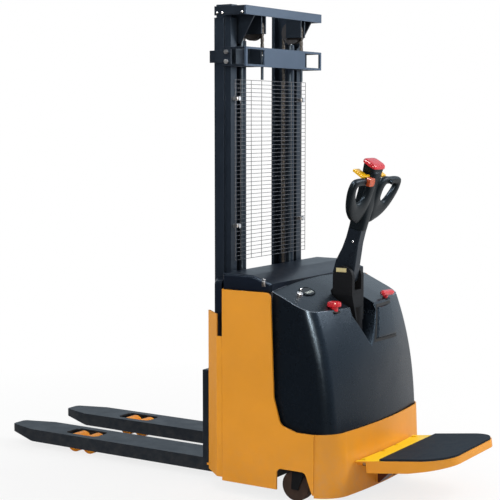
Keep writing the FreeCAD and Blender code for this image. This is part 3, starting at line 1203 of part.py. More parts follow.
def at(p, y, s):
    """Point in the tiller's own frame: p towards the operator, y across, s along the arm."""
    return V(PIVOT_X + p, STEER_Y + y, PIVOT_Z + s)


def tiller_box(p0, p1, y0, y1, s0, s1):
    """Block in the tiller's own frame."""
    return box(PIVOT_X + p0, PIVOT_X + p1, STEER_Y + y0, STEER_Y + y1, PIVOT_Z + s0, PIVOT_Z + s1)


def tiller_base():
    """Steering column with the yoke that carries the tiller, and its tilt pin."""
    column = rod(COLUMN_D, V(STEER_X, STEER_Y, TURN_TOP + MOTOR_H), V(STEER_X, STEER_Y, COLUMN_TOP))
    yoke = box(PIVOT_X - YOKE_X / 2, PIVOT_X + YOKE_X / 2, STEER_Y - YOKE_Y / 2, STEER_Y + YOKE_Y / 2,
               YOKE_SLOT_Z - 20, PIVOT_Z)
    crown = rod(2 * YOKE_TOP_R, V(PIVOT_X, STEER_Y - YOKE_Y / 2, PIVOT_Z), V(PIVOT_X, STEER_Y + YOKE_Y / 2, PIVOT_Z))
    low = Part.makeLoft([rect_wire(STEER_X, COLUMN_D * 0.8, COLUMN_D * 0.9, YOKE_Z0 - 40),
                         rect_wire(PIVOT_X, YOKE_X, YOKE_Y, YOKE_SLOT_Z - 19)], True, True)
    body = fuse([column, yoke, crown, low])
    slot = box(PIVOT_X - YOKE_X, PIVOT_X + YOKE_X, STEER_Y - YOKE_SLOT / 2, STEER_Y + YOKE_SLOT / 2,
               YOKE_SLOT_Z, PIVOT_Z + YOKE_X)
    pin = rod(TILT_PIN_D, V(PIVOT_X, STEER_Y - YOKE_Y / 2, PIVOT_Z), V(PIVOT_X, STEER_Y + YOKE_Y / 2, PIVOT_Z))
    return [cut(body, [slot, pin]), pin]


def rect_wire(x, size_x, size_y, z):
    """Rectangle at height z, centred on the steering plane."""
    hx = size_x / 2
    hy = size_y / 2
    ring = [V(x - hx, STEER_Y - hy, z), V(x + hx, STEER_Y - hy, z), V(x + hx, STEER_Y + hy, z), V(x - hx, STEER_Y + hy, z)]
    return Part.makePolygon(ring + ring[:1])


def tiller_arm():
    """Tiller arm with its pivot hub."""
    half_w = ARM_W / 2
    hub = rod(ARM_HUB_D, at(0, -half_w, 0), at(0, half_w, 0))
    points = [(PIVOT_X + p, PIVOT_Z + s) for p, s in ARM_OUTLINE]
    beam = prism_y(points, STEER_Y - half_w, STEER_Y + half_w)
    top = PIVOT_Z + ARM_OUTLINE[4][1]
    beam = fillet(beam, 8, lambda c, e: PIVOT_Z + ARM_ROUND_S < c.z < top - 1 and abs(c.y - STEER_Y) > half_w - 1)
    bore = rod(TILT_PIN_D + 2 * RUN_FIT, at(0, -half_w - 1, 0), at(0, half_w + 1, 0))
    return leaned(cut(fuse([hub, beam]), [bore]))


def head_outline():
    """Half outline of the tiller head as (y, s) points, from the arm round the grip to the console."""
    return [(0, HEAD_S0), (ARM_W * 0.9, HEAD_S0 + 4), (HEAD_HALF * 0.60, HEAD_S0 + 32), (HEAD_HALF * 0.84, HEAD_S0 + 78),
            (HEAD_HALF * 0.98, HEAD_S0 + 136), (HEAD_HALF, HEAD_S0 + 172), (HEAD_HALF * 0.92, GRIP_TOP_S - 12),
            (HEAD_HALF * 0.76, GRIP_TOP_S), (HEAD_HALF * 0.40, GRIP_TOP_S), (0, GRIP_TOP_S)]


def closed_slab(points, depth):
    """Outline of (y, s) points pushed through the head's thickness."""
    ring = [at(-depth / 2, y, s) for y, s in points]
    face = Part.Face(Part.makePolygon(ring + ring[:1]))
    return face.extrude(V(depth, 0, 0))


def grip_hole(side):
    """Hand hole in one grip loop."""
    width = HOLE_Y1 - HOLE_Y0
    points = [(HOLE_Y0, HOLE_S1), (HOLE_Y0, HOLE_S0 + 26), (HOLE_Y0 + width * 0.30, HOLE_S0),
              (HOLE_Y0 + width * 0.55, HOLE_S0 + 6), (HOLE_Y1, HOLE_S1 - 24), (HOLE_Y1 - 6, HOLE_S1)]
    hole = closed_slab([(side * y, s) for y, s in points], HEAD_T * 2)
    return hole


def head_leaned(shape):
    """Lean a piece of the grips back from the arm line."""
    placed = shape.copy()
    placed.rotate(at(0, 0, HEAD_S0), Y, HEAD_LEAN)
    return placed


def tiller_head():
    """Tiller head: console and neck between two closed hand grips."""
    half = head_outline()
    ring = half[:-1] + [(-y, s) for y, s in reversed(half[1:-1])]
    slab = closed_slab(ring, HEAD_T)
    slab = slab.makeFillet(HEAD_R, [e for e in slab.Edges if abs(abs(e.CenterOfMass.x - PIVOT_X) - HEAD_T / 2) < 0.1])
    slab = head_leaned(cut(slab, [grip_hole(1), grip_hole(-1), rocker_barrel(ROCKER_D + 2 * TRACK_GAP), horn_pocket()]))
    console = tiller_box(CONSOLE_D0, CONSOLE_D1, -CONSOLE_HALF, CONSOLE_HALF, CONSOLE_S0, CONSOLE_S1)
    console = fillet(console, 8, lambda c, e: abs(e.Vertexes[0].Point.z - e.Vertexes[1].Point.z) > 1)
    neck = tiller_box(NECK_D0, NECK_D1, -NECK_HALF, NECK_HALF, NECK_S0, NECK_S1)
    neck = fillet(neck, 10, lambda c, e: abs(e.Vertexes[0].Point.z - e.Vertexes[1].Point.z) > 1)
    head = fuse([slab, console, neck])
    arm_end = [(PIVOT_X + p, PIVOT_Z + s) for p, s in ARM_OUTLINE[3:7]]
    socket = prism_y(arm_end, STEER_Y - ARM_W / 2, STEER_Y + ARM_W / 2)
    shaft = rod(THROTTLE_D + 2 * CURVE_GAP, at(THROTTLE_P, -CONSOLE_HALF - 1, THROTTLE_S),
                at(THROTTLE_P, CONSOLE_HALF + 1, THROTTLE_S))
    return leaned(cut(head, [socket, shaft]))


BELLY_FLOOR = CONSOLE_S1 + BELLY_TRAVEL + 1


def belly_button():
    """Red safety button on the end of the console."""
    low = BELLY_FLOOR
    cap = tiller_box(CONSOLE_D0, CONSOLE_D1, -BELLY_R, BELLY_R, low, low + BELLY_H)
    cap = fillet(cap, BELLY_H * 0.7, lambda c, e: c.z > PIVOT_Z + low + BELLY_H - 1 and abs(abs(c.y - STEER_Y) - BELLY_R) < 1)
    mid = (CONSOLE_D0 + CONSOLE_D1) / 2
    reach = (CONSOLE_D1 - CONSOLE_D0) / 2
    cap = fillet(cap, 7, lambda c, e: abs(abs(c.x - PIVOT_X - mid) - reach) < 0.1 and c.z > PIVOT_Z + low + 2)
    return leaned(cap.cut(belly_collar(TRACK_GAP, low - 1, low + BELLY_GRIP + BELLY_TRAVEL + 1)))


def belly_collar(gap, low, high):
    """Block on the console's centre between two heights, grown by a gap."""
    half = CONSOLE_HALF / 2 + gap
    return tiller_box(CONSOLE_D0 / 2 - gap, CONSOLE_D1 / 2 + gap, -half, half, low, high)


def belly_guide():
    """Fixed collar that the belly button slides on."""
    return leaned(belly_collar(0, CONSOLE_S1, BELLY_FLOOR + BELLY_GRIP))


def throttle_wings():
    """Butterfly throttle: shaft with a wing at each end."""
    reach = CONSOLE_HALF + TRACK_GAP * 3
    near = BELLY_R + CURVE_GAP
    shaft = rod(THROTTLE_D, at(THROTTLE_P, -near - 1, THROTTLE_S), at(THROTTLE_P, near + 1, THROTTLE_S))
    parts = [shaft]
    for side in (-1, 1):
        wing = tiller_box(THROTTLE_P - WING_T / 2, THROTTLE_P + WING_T / 2, side * near, side * (reach + WING_LEN),
                          THROTTLE_S - THROTTLE_D / 2, THROTTLE_S - THROTTLE_D / 2 + WING_W)
        wing = fillet(wing, 4, lambda c, e: True)
        wing.rotate(at(THROTTLE_P, 0, THROTTLE_S), Y, -WING_FOLD)
        parts.append(wing)
    return leaned(fuse(parts))


def rocker_barrel(diameter):
    """Round part of the lift rocker, or its recess."""
    face = HEAD_T / 2
    half = ROCKER_W / 2 + (diameter - ROCKER_D) / 2
    return rod(diameter, at(face, -BUTTON_Y - half, BUTTON_S), at(face, -BUTTON_Y + half, BUTTON_S))


def lift_rocker():
    """Rocker that raises and lowers the forks."""
    face = HEAD_T / 2
    key = tiller_box(face + ROCKER_LIFT, face + ROCKER_H, -BUTTON_Y - ROCKER_W / 2, -BUTTON_Y + ROCKER_W / 2,
                     BUTTON_S - ROCKER_L / 2, BUTTON_S + ROCKER_L / 2)
    key = fillet(key, 2, lambda c, e: c.x > PIVOT_X + face + ROCKER_H - 1)
    return leaned(head_leaned(fuse([key, rocker_barrel(ROCKER_D)])))


def horn_pocket():
    """Recess for the horn button."""
    face = HEAD_T / 2
    return rod(HORN_D + 2 * CURVE_GAP, at(face - 5, BUTTON_Y, BUTTON_S), at(face + 20, BUTTON_Y, BUTTON_S))


def horn_button():
    """Round horn button."""
    face = HEAD_T / 2
    key = rod(HORN_D, at(face - 5 + HORN_TRAVEL + TRACK_GAP, BUTTON_Y, BUTTON_S), at(face + HORN_H, BUTTON_Y, BUTTON_S))
    return leaned(head_leaned(fillet(key, 2, lambda c, e: c.x > PIVOT_X + face + HORN_H - 1)))


# ---- platform -------------------------------------------------------------------------------
HINGE = V(HINGE_X, 0, HINGE_Z)
PLATFORM_TOP = HINGE_Z + PLATFORM_RISE
TILT = math.radians(PLATFORM_TILT)
PLATE_REACH = (PLATFORM_END - HINGE_X - (RIM_SHALLOW - PLATFORM_RISE) * math.sin(TILT)) / math.cos(TILT)


def raised(shape):
    """Tilt a platform piece drawn level up to its rest angle."""
    placed = shape.copy()
    placed.rotate(HINGE, Y, -PLATFORM_TILT)
    return placed


def platform_slab(front, inset, z0, z1):
    """Level slab of the platform's outline with rounded outer corners."""
    half = PLATFORM_HALF - inset
    back = HINGE_X + PLATE_REACH - inset
    slab = box(front, back, -half, half, z0, z1)
    radius = PLATFORM_R - inset
    return fillet(slab, radius, lambda c, e: c.x > back - 1 and abs(abs(c.y) - half) < 1)


def platform_plate():
    """Platform plate with its bowed front edge, turned-down rim and hinge knuckles."""
    plate = platform_slab(PLATFORM_FRONT, 0, PLATFORM_TOP - PLATFORM_T, PLATFORM_TOP)
    plate = plate.cut(skirt_body(-PLATFORM_GAP, SKIRT_Z0, PANEL_LOW_TOP))
    skirt = platform_slab(PLATFORM_FRONT, 0, PLATFORM_TOP - RIM_DEEP, PLATFORM_TOP - PLATFORM_T + 1)
    inner = platform_slab(PLATFORM_FRONT - RIM_T, RIM_T, PLATFORM_TOP - RIM_DEEP - 1, PLATFORM_TOP - PLATFORM_T + 1)
    rim = skirt.cut(inner)
    far = HINGE_X + PLATE_REACH + 1
    deep = PLATFORM_TOP - RIM_DEEP
    below = prism_y([(HINGE_X + RIM_KNEE, deep), (far, PLATFORM_TOP - RIM_SHALLOW), (far, deep - 2), (HINGE_X, deep - 2),
                     (HINGE_X, deep)], -PLATFORM_HALF - 1, PLATFORM_HALF + 1)
    ahead = box(PLATFORM_FRONT - 1, HINGE_X + KNUCKLE_D, -PLATFORM_HALF - 1, PLATFORM_HALF + 1,
                deep - 2, PLATFORM_TOP - PLATFORM_T + 1)
    parts = [plate, rim.cut([below, ahead])]
    tools = []
    for y in LUG_YS:
        for side in (-1, 1):
            inner_y = side * (y - LUG_T / 2 - TRACK_GAP)
            outer_y = side * (y - LUG_T * 1.5)
            parts.append(rod(KNUCKLE_D, V(HINGE_X, inner_y, HINGE_Z), V(HINGE_X, outer_y, HINGE_Z)))
            parts.append(box(HINGE_X - KNUCKLE_D / 4, HINGE_X + KNUCKLE_D / 2, inner_y, outer_y, HINGE_Z,
                             PLATFORM_TOP - PLATFORM_T + 1))
            notch = LUG_T / 2 + NOTCH_GAP
            tools.append(box(PLATFORM_FRONT - 1, HINGE_X, side * (y - notch), side * (y + notch),
                             PLATFORM_TOP - PLATFORM_T - 1, PLATFORM_TOP + 1))
    tools.append(rod(HINGE_PIN_D + 2 * RUN_FIT, V(HINGE_X, -PLATFORM_HALF, HINGE_Z), V(HINGE_X, PLATFORM_HALF, HINGE_Z)))
    return raised(cut(fuse(parts), tools))


def platform_mat():
    """Rubber mat on the platform."""
    return raised(platform_slab(MAT_FRONT, MAT_EDGE, PLATFORM_TOP, PLATFORM_TOP + MAT_T))


def platform_hinge():
    """Hinge pin and two coil springs around it."""
    reach = LUG_YS[0] + LUG_T / 2 + 4
    pin = rod(HINGE_PIN_D, V(HINGE_X, -reach, HINGE_Z), V(HINGE_X, reach, HINGE_Z))
    springs = []
    centre_y = (LUG_YS[0] + LUG_YS[1]) / 2
    length = SPRING_TURNS * SPRING_PITCH
    radius = HINGE_PIN_D / 2 + SPRING_GAP + SPRING_WIRE / 2
    for side in (-1, 1):
        helix = Part.makeHelix(SPRING_PITCH, length, radius)
        section = Part.Wire(Part.makeCircle(SPRING_WIRE / 2, V(radius, 0, 0), Y))
        coil = Part.Wire(helix).makePipeShell([section], True, True)
        coil.Placement = FreeCAD.Placement(V(HINGE_X, side * centre_y - length / 2, HINGE_Z), FreeCAD.Rotation(X, -90))
        springs.append(coil)
    return [pin] + springs


# ---- write every node -----------------------------------------------------------------------
def both(shape):
    """The piece and its mirror image."""
    return [shape, other_side(shape)]


save("fork_right", [fork()])
save("fork_left", [other_side(fork())])
save("support_leg_right", support_leg())
save("support_leg_left", [other_side(s) for s in support_leg()])
for place, x in zip(("front", "rear"), LOAD_XS):
    save("load_roller_right_" + place, [load_roller(x)])
    save("load_roller_left_" + place, [other_side(load_roller(x))])

save("outer_mast_right", outer_mast())
save("outer_mast_left", [other_side(s) for s in outer_mast()])
save("inner_mast_right", [inner_mast()])
save("inner_mast_left", [other_side(inner_mast())])
save("mast_rollers", both(track_roller(MAST_ROLLER_X, MAST_ROLLER_Y0, MAST_ROLLER_Z)))
save("inner_mast_top_beam", inner_top_beam())
save("inner_mast_low_tie", [inner_low_tie()])
save("outer_mast_top_tie", [top_tie()])
save("outer_mast_low_tie", [low_tie()])
save("chain_pulleys", both(chain_pulley()))
save("chain_front_strands", both(chain_front()))
save("chain_rear_strands", both(chain_rear()))
save("chain_anchors", both(chain_anchor()))
save("lift_cylinders", both(lift_cylinder()))
save("piston_rods", both(piston_rod()))
save("mesh_guard", [mesh_guard()])
save("mast_bolts", mast_bolts())

save("fork_carriage", [fork_carriage()])
save("carriage_rollers_upper", both(track_roller(CARRIAGE_ROLLER_X, CARRIAGE_ROLLER_Y0, UPPER_ROLLER_Z)))
save("carriage_rollers_lower", both(track_roller(CARRIAGE_ROLLER_X, CARRIAGE_ROLLER_Y0, LOWER_ROLLER_Z)))

save("chassis_frame", [chassis_frame()])
save("mast_base_covers", both(mast_base_cover()))
save("side_panel_right", [side_panel()])
save("side_panel_left", [other_side(side_panel())])
save("rear_skirt", [rear_skirt()])
save("rear_hood", [rear_hood()])
save("battery_cover", [battery_cover()])
save("rear_hatch", [rear_hatch()])
save("dash_instruments", dash_instruments())
save("battery", battery())
save("hydraulic_power_pack", hydraulic_power_pack())
save("controller", [controller()])

save("drive_gearbox", [drive_gearbox()])
save("drive_motor", [drive_motor()])
save("drive_wheel", drive_wheel())
for name, side in (("right", 1), ("left", -1)):
    save("caster_fork_" + name, caster_fork(side))
    save("caster_wheel_" + name, [caster_wheel(side)])

save("tiller_base", tiller_base())
save("tiller_arm", [tiller_arm()])
save("tiller_head", [tiller_head(), belly_guide()])
save("belly_button", [belly_button()])
save("throttle_wings", [throttle_wings()])
save("lift_rocker", [lift_rocker()])
save("horn_button", [horn_button()])

save("emergency_stop", [emergency_stop()])
save("main_switch", [main_switch()])
save("ignition_key", [ignition_key()])

save("platform_plate", [platform_plate()])
save("platform_mat", [platform_mat()])
save("platform_hinge", platform_hinge())
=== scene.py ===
import json
import math

import bmesh
import bpy
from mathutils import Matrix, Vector
from mathutils.bvhtree import BVHTree

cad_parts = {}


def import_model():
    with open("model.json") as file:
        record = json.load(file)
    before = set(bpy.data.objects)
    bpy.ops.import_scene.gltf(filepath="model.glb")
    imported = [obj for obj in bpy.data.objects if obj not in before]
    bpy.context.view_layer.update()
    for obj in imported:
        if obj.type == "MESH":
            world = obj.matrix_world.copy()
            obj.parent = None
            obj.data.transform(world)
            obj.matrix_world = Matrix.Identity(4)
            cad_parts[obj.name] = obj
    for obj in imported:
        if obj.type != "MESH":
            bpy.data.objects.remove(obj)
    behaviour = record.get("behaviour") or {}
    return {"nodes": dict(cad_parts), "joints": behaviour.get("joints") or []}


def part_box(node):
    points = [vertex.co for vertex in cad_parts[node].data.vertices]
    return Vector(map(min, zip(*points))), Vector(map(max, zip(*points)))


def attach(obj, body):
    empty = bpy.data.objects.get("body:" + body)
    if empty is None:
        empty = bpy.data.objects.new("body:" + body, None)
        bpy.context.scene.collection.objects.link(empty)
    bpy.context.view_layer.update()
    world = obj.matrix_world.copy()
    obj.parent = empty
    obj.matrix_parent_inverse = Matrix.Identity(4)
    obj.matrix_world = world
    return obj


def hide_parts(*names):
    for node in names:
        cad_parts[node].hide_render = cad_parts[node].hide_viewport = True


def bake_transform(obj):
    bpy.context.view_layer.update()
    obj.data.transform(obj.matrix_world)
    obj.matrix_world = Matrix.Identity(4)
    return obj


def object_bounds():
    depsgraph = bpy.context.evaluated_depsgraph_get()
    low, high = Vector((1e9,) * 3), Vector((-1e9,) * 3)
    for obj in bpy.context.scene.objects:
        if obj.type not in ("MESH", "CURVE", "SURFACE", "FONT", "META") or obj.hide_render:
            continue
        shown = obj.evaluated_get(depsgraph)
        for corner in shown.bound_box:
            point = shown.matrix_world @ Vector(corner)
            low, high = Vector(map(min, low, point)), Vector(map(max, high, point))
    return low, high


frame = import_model()
CAD_LOW, CAD_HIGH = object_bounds()
NODES = frame["nodes"]

ACROSS = Vector((0, 1, 0))
AHEAD = Vector((1, 0, 0))
UPWARD = Vector((0, 0, 1))
FAR = 9.0                      # past every piece, for limits that are open on one side
WHITE = (1.0, 1.0, 1.0)
BLUISH = (0.52, 0.74, 1.0)     # cast of the reflections on the black finishes
YELLOW = (0.74, 0.295, 0.018)
BLACK = (0.0052, 0.0076, 0.0115)
RIM_IN = 0.285                 # the hood's side rims, which get the painted edge highlight, lie farther out than this
BEVEL_SAMPLES = 4
COAT_ROUGHNESS = 0.12
DUST = (0.30, 0.26, 0.21)


# ---- material kit ----
class Graph:
    """Adds nodes to a node tree."""

    def __init__(self, tree):
        self.nodes = tree.nodes
        self.links = tree.links

    def add(self, kind, settings=(), **inputs):
        """New node; inputs are values or sockets, by number (i0) or by name with underscores for spaces."""
        node = self.nodes.new(kind)
        for key, value in settings:
            setattr(node, key, value)
        for key, value in inputs.items():
            numbered = key[0] == "i" and key[1:].isdigit()
            self.feed(node.inputs[int(key[1:]) if numbered else key.replace("_", " ")], value)
        return node

    def feed(self, socket, value):
        """Links an input to another node's output, or sets its own value."""
        if isinstance(value, bpy.types.NodeSocket):
            self.links.new(value, socket)
        else:
            socket.default_value = value

    def math(self, operation, first, second=0.5):
        return self.add("ShaderNodeMath", (("operation", operation),), i0=first, i1=second).outputs[0]

    def span(self, value, low, high, to_low=0.0, to_high=1.0):
        """Value stretched from low..high to a new range, clamped."""
        return self.add("ShaderNodeMapRange", Value=value, From_Min=low, From_Max=high, To_Min=to_low,
                        To_Max=to_high).outputs[0]

    def blend(self, share, first, second):
        """Colour mixed from first to second."""
        node = self.add("ShaderNodeMix", (("data_type", "RGBA"),), i0=share)
        for socket, tone in ((node.inputs[6], first), (node.inputs[7], second)):
            self.feed(socket, tone if isinstance(tone, bpy.types.NodeSocket) else (*tone, 1.0))
        return node.outputs[2]


class Look(Graph):
    """Builds one node material around a Principled shader."""

    def __init__(self, name, metallic=0.0, specular=0.5, coat=0.0, sheen=WHITE):
        self.mat = bpy.data.materials.new(name)
        self.mat.use_nodes = True
        super().__init__(self.mat.node_tree)
        self.bsdf = self.nodes["Principled BSDF"]
        self.bsdf.inputs["Metallic"].default_value = metallic
        self.bsdf.inputs["Specular IOR Level"].default_value = specular
        self.bsdf.inputs["Specular Tint"].default_value = (*sheen, 1.0)
        self.bsdf.inputs["Coat Weight"].default_value = coat
        self.bsdf.inputs["Coat Roughness"].default_value = COAT_ROUGHNESS
        self.place = self.nodes.new("ShaderNodeTexCoord").outputs["Object"]

    def stretch(self, x, y, z):
        """Object coordinates scaled along each axis."""
        return self.add("ShaderNodeMapping", Vector=self.place, Scale=(x, y, z)).outputs[0]

    def noise(self, scale, detail=3.0, rough=0.5, where=None):
        """Cloudy pattern in 0..1."""
        return self.add("ShaderNodeTexNoise", Vector=where or self.place, Scale=scale, Detail=detail,
                        Roughness=rough).outputs["Fac"]

    def cells(self, scale):
        """Small rounded grains."""
        return self.add("ShaderNodeTexVoronoi", Vector=self.place, Scale=scale).outputs["Distance"]

    def within(self, limits, tone, colour):
        """A colour inside a box of (axis, low, high) limits, and the tone outside it."""
        inside = None
        for axis, low, high in limits:
            for operation, edge in (("GREATER_THAN", low), ("LESS_THAN", high)):
                test = self.math(operation, self.axis(axis), edge)
                inside = test if inside is None else self.math("MULTIPLY", inside, test)
        return self.blend(inside, tone, colour)

    def edges(self, radius=0.0016, low=0.02, high=0.16):
        """1 along sharp edges and 0 on flat faces."""
        bevel = self.add("ShaderNodeBevel", (("samples", BEVEL_SAMPLES),), Radius=radius)
        straight = self.add("ShaderNodeNewGeometry").outputs["Normal"]
        dot = self.add("ShaderNodeVectorMath", (("operation", "DOT_PRODUCT"),), i0=bevel.outputs[0], i1=straight)
        return self.span(self.math("SUBTRACT", 1.0, dot.outputs["Value"]), low, high)

    def axis(self, name):
        """One of the object coordinates X, Y or Z."""
        return self.add("ShaderNodeSeparateXYZ", Vector=self.place).outputs[name]

    def surface(self, colour, roughness):
        self.feed(self.bsdf.inputs["Base Color"], colour)
        self.feed(self.bsdf.inputs["Roughness"], roughness)

    def bump(self, height, distance, strength=1.0, rounded=0.0):
        """Bump from a height in 0..1, on edges softened by a small radius."""
        node = self.add("ShaderNodeBump", Height=height, Distance=distance, Strength=strength)
        if rounded:
            bevel = self.add("ShaderNodeBevel", (("samples", BEVEL_SAMPLES),), Radius=rounded)
            self.links.new(bevel.outputs[0], node.inputs["Normal"])
        self.links.new(node.outputs[0], self.bsdf.inputs["Normal"])


def scaled(colour, factor):
    """A lighter or darker cast of a colour."""
    return tuple(min(1.0, c * factor) for c in colour)


def paint(name, colour, rough=0.38, worn_and_edge_highlight=None, wear=0.35, dust=0.0, coat=0.0, rounded=0.0012,
          specular=0.3, sheen=WHITE, regions=()):
    """Sprayed paint: mottle, orange peel, scuffs, edge wear that can double as a painted edge highlight, and dust;
    regions are (limits, colour) pairs.
    """
    look = Look(name, coat=coat, specular=specular, sheen=sheen)
    mottle = look.noise(3.2, 4.0, 0.55)
    tone = look.blend(look.span(mottle, 0.3, 0.7), scaled(colour, 0.93), scaled(colour, 1.06))
    streaks = look.noise(9.0, 5.0, 0.7, look.stretch(5.0, 5.0, 0.5))
    tone = look.blend(look.span(streaks, 0.62, 0.8, 0.0, 0.12), tone, scaled(colour, 0.6))
    scuffs = look.span(look.noise(46.0, 6.0, 0.72), 0.64, 0.72)
    patches = look.span(look.noise(5.0, 2.0), 0.5, 0.62)
    worn_and_edge_highlight = worn_and_edge_highlight or scaled(colour, 1.7)
    chips = look.math("MULTIPLY", look.edges(), look.span(look.noise(70.0, 4.0, 0.7), 0.42, 0.62))
    mask = look.math("MAXIMUM", look.math("MULTIPLY", chips, wear),
                     look.math("MULTIPLY", look.math("MULTIPLY", scuffs, patches), wear * 0.35))
    tone = look.blend(mask, tone, worn_and_edge_highlight)
    if dust:
        full_below, none_above = 0.03, 0.30
        near_floor = look.span(look.axis("Z"), full_below, none_above, 1.0, 0.0)
        powder = look.math("MULTIPLY", near_floor, look.span(look.noise(24.0, 6.0, 0.7), 0.35, 0.7, 0.0, dust))
        tone = look.blend(powder, tone, DUST)
    for limits, region_colour in regions:
        tone = look.within(limits, tone, region_colour)
    look.surface(tone, look.span(look.noise(14.0, 4.0, 0.6), 0.25, 0.75, rough - 0.06, rough + 0.09))
    peel = look.noise(520.0, 2.0, 0.5)
    look.bump(peel, 0.00006, 0.5, rounded)
    return look.mat


def moulding(name, colour, rough=0.25, grain=0.00004, grain_scale=900.0, specular=0.5, sheen=WHITE,
             rounded=0.0010, rubbed_and_rim_highlight=None):
    """Moulded plastic: fine grain, hazy patches, scratches and, where asked, a painted highlight: pale colour on the
    sharp edges of the side rims.
    """
    look = Look(name, specular=specular, sheen=sheen)
    haze = look.noise(6.0, 5.0, 0.62)
    tone = look.blend(look.span(haze, 0.3, 0.75), scaled(colour, 0.94), scaled(colour, 1.07))
    hairs = look.noise(60.0, 3.0, 0.6, look.stretch(1.0, 18.0, 3.0))
    scratch = look.span(hairs, 0.70, 0.78, 0.0, 0.25)
    tone = look.blend(scratch, tone, scaled(colour, 1.9))
    # Painted highlight: pale colour on sharp edges beyond RIM_IN, standing in for a lamp's reflection along the
    # hood's top side edges.
    if rubbed_and_rim_highlight:
        fade = 0.01
        edge = look.edges(radius=0.0045, low=0.01, high=0.08)
        beside = look.span(look.math("ABSOLUTE", look.axis("Y")), RIM_IN, RIM_IN + fade)
        tone = look.blend(look.math("MULTIPLY", edge, beside), tone, rubbed_and_rim_highlight)
    base = look.span(look.noise(11.0, 6.0, 0.7), 0.3, 0.7, rough - 0.02, rough + 0.03)
    look.surface(tone, look.math("ADD", base, look.math("MULTIPLY", scratch, 0.3)))
    look.bump(look.cells(grain_scale), grain, 0.6, rounded)
    return look.mat


def metal(name, colour, rough=0.3, brushed=(1.0, 1.0, 12.0), tint=None):
    """Bare or plated metal with fine tooling lines and stained patches."""
    look = Look(name, metallic=1.0)
    lines = look.noise(240.0, 2.0, 0.5, look.stretch(*brushed))
    stain = look.span(look.noise(18.0, 5.0, 0.65), 0.45, 0.72)
    tone = look.blend(look.span(lines, 0.3, 0.7), scaled(colour, 0.86), scaled(colour, 1.08))
    tone = look.blend(look.math("MULTIPLY", stain, 0.45), tone, tint or scaled(colour, 0.55))
    look.surface(tone, look.span(look.math("ADD", lines, stain), 0.3, 1.5, rough - 0.06, rough + 0.16))
    look.bump(lines, 0.00003, 0.5, 0.0006)
    return look.mat


def rubber(name, colour, rough=0.62, specular=0.35, sheen=WHITE):
    """Rubber or polyurethane: pitted, with pale scuffed patches."""
    look = Look(name, specular=specular, sheen=sheen)
    rubbed_and_rim_highlight = look.span(look.noise(22.0, 6.0, 0.68), 0.45, 0.75)
    tone = look.blend(rubbed_and_rim_highlight, scaled(colour, 0.82), scaled(colour, 1.35))
    look.surface(tone, look.span(rubbed_and_rim_highlight, 0.0, 1.0, rough - 0.05, rough + 0.12))
    look.bump(look.noise(700.0, 3.0, 0.6), 0.00012, 0.5, 0.0010)
    return look.mat


def crossbar_paint(painted_reflection_grey, black):
    """Black on the crossbars' arms and gussets; their rear plates lighter and bluish, a painted reflection of the
    bright surroundings on the same black paint.
    """
    plate = 0.0075
    plate_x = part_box("inner_mast_top_beam")[1].x - plate
    # Painted reflection: the rear plates beyond plate_x take the lighter colour, and the rest stays black.
    return paint("crossbar_grey", painted_reflection_grey, rough=0.34, wear=0.3, specular=0.42, sheen=BLUISH,
                 regions=(((("X", -FAR, plate_x),), black),))


def frame_paint(dark, colour):
    """Dark undercoat on the frame, body paint on its slanted front pillars."""
    seam, inside_pillar = 0.001, 0.050
    rear_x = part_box("side_panel_left")[0].x - seam
    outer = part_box("fork_carriage")[1].y + inside_pillar
    pillars = [((("X", -FAR, rear_x), ("Y", low, high)), colour) for low, high in ((-FAR, -outer), (outer, FAR))]
    return paint("frame_dark", dark, rough=0.55, worn_and_edge_highlight=(0.12, 0.11, 0.10), dust=0.2, regions=pillars)


def skirt_paint(colour):
    """The body paint, with the landing stops and the skirt's rear end under the platform dark red-brown."""
    stop_reach, above_plate = 0.078, 0.05
    # Dark red-brown for the skirt's rear end under the platform.
    dark_red_brown = (0.085, 0.022, 0.012)
    rear_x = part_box("rear_skirt")[1].x - stop_reach
    top_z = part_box("platform_plate")[0].z + above_plate
    return paint("skirt_paint", colour, rough=0.34, wear=0.25, dust=0.25, coat=0.06, rounded=0.0004,
                 regions=(((("X", rear_x, FAR), ("Z", -FAR, top_z)), dark_red_brown),))


def platform_paint(colour):
    """The body paint on the platform's rim, and safety yellow on its bare front strip."""
    under_mat, rim = 0.020, 0.001
    safety_yellow = (1.0, 0.70, 0.002)
    edge_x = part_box("platform_mat")[0].x + under_mat
    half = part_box("platform_plate")[1].y - rim
    return paint("platform_yellow", colour, rough=0.36, wear=0.4, dust=0.1, coat=0.05,
                 regions=(((("X", -FAR, edge_x), ("Y", -half, half)), safety_yellow),))


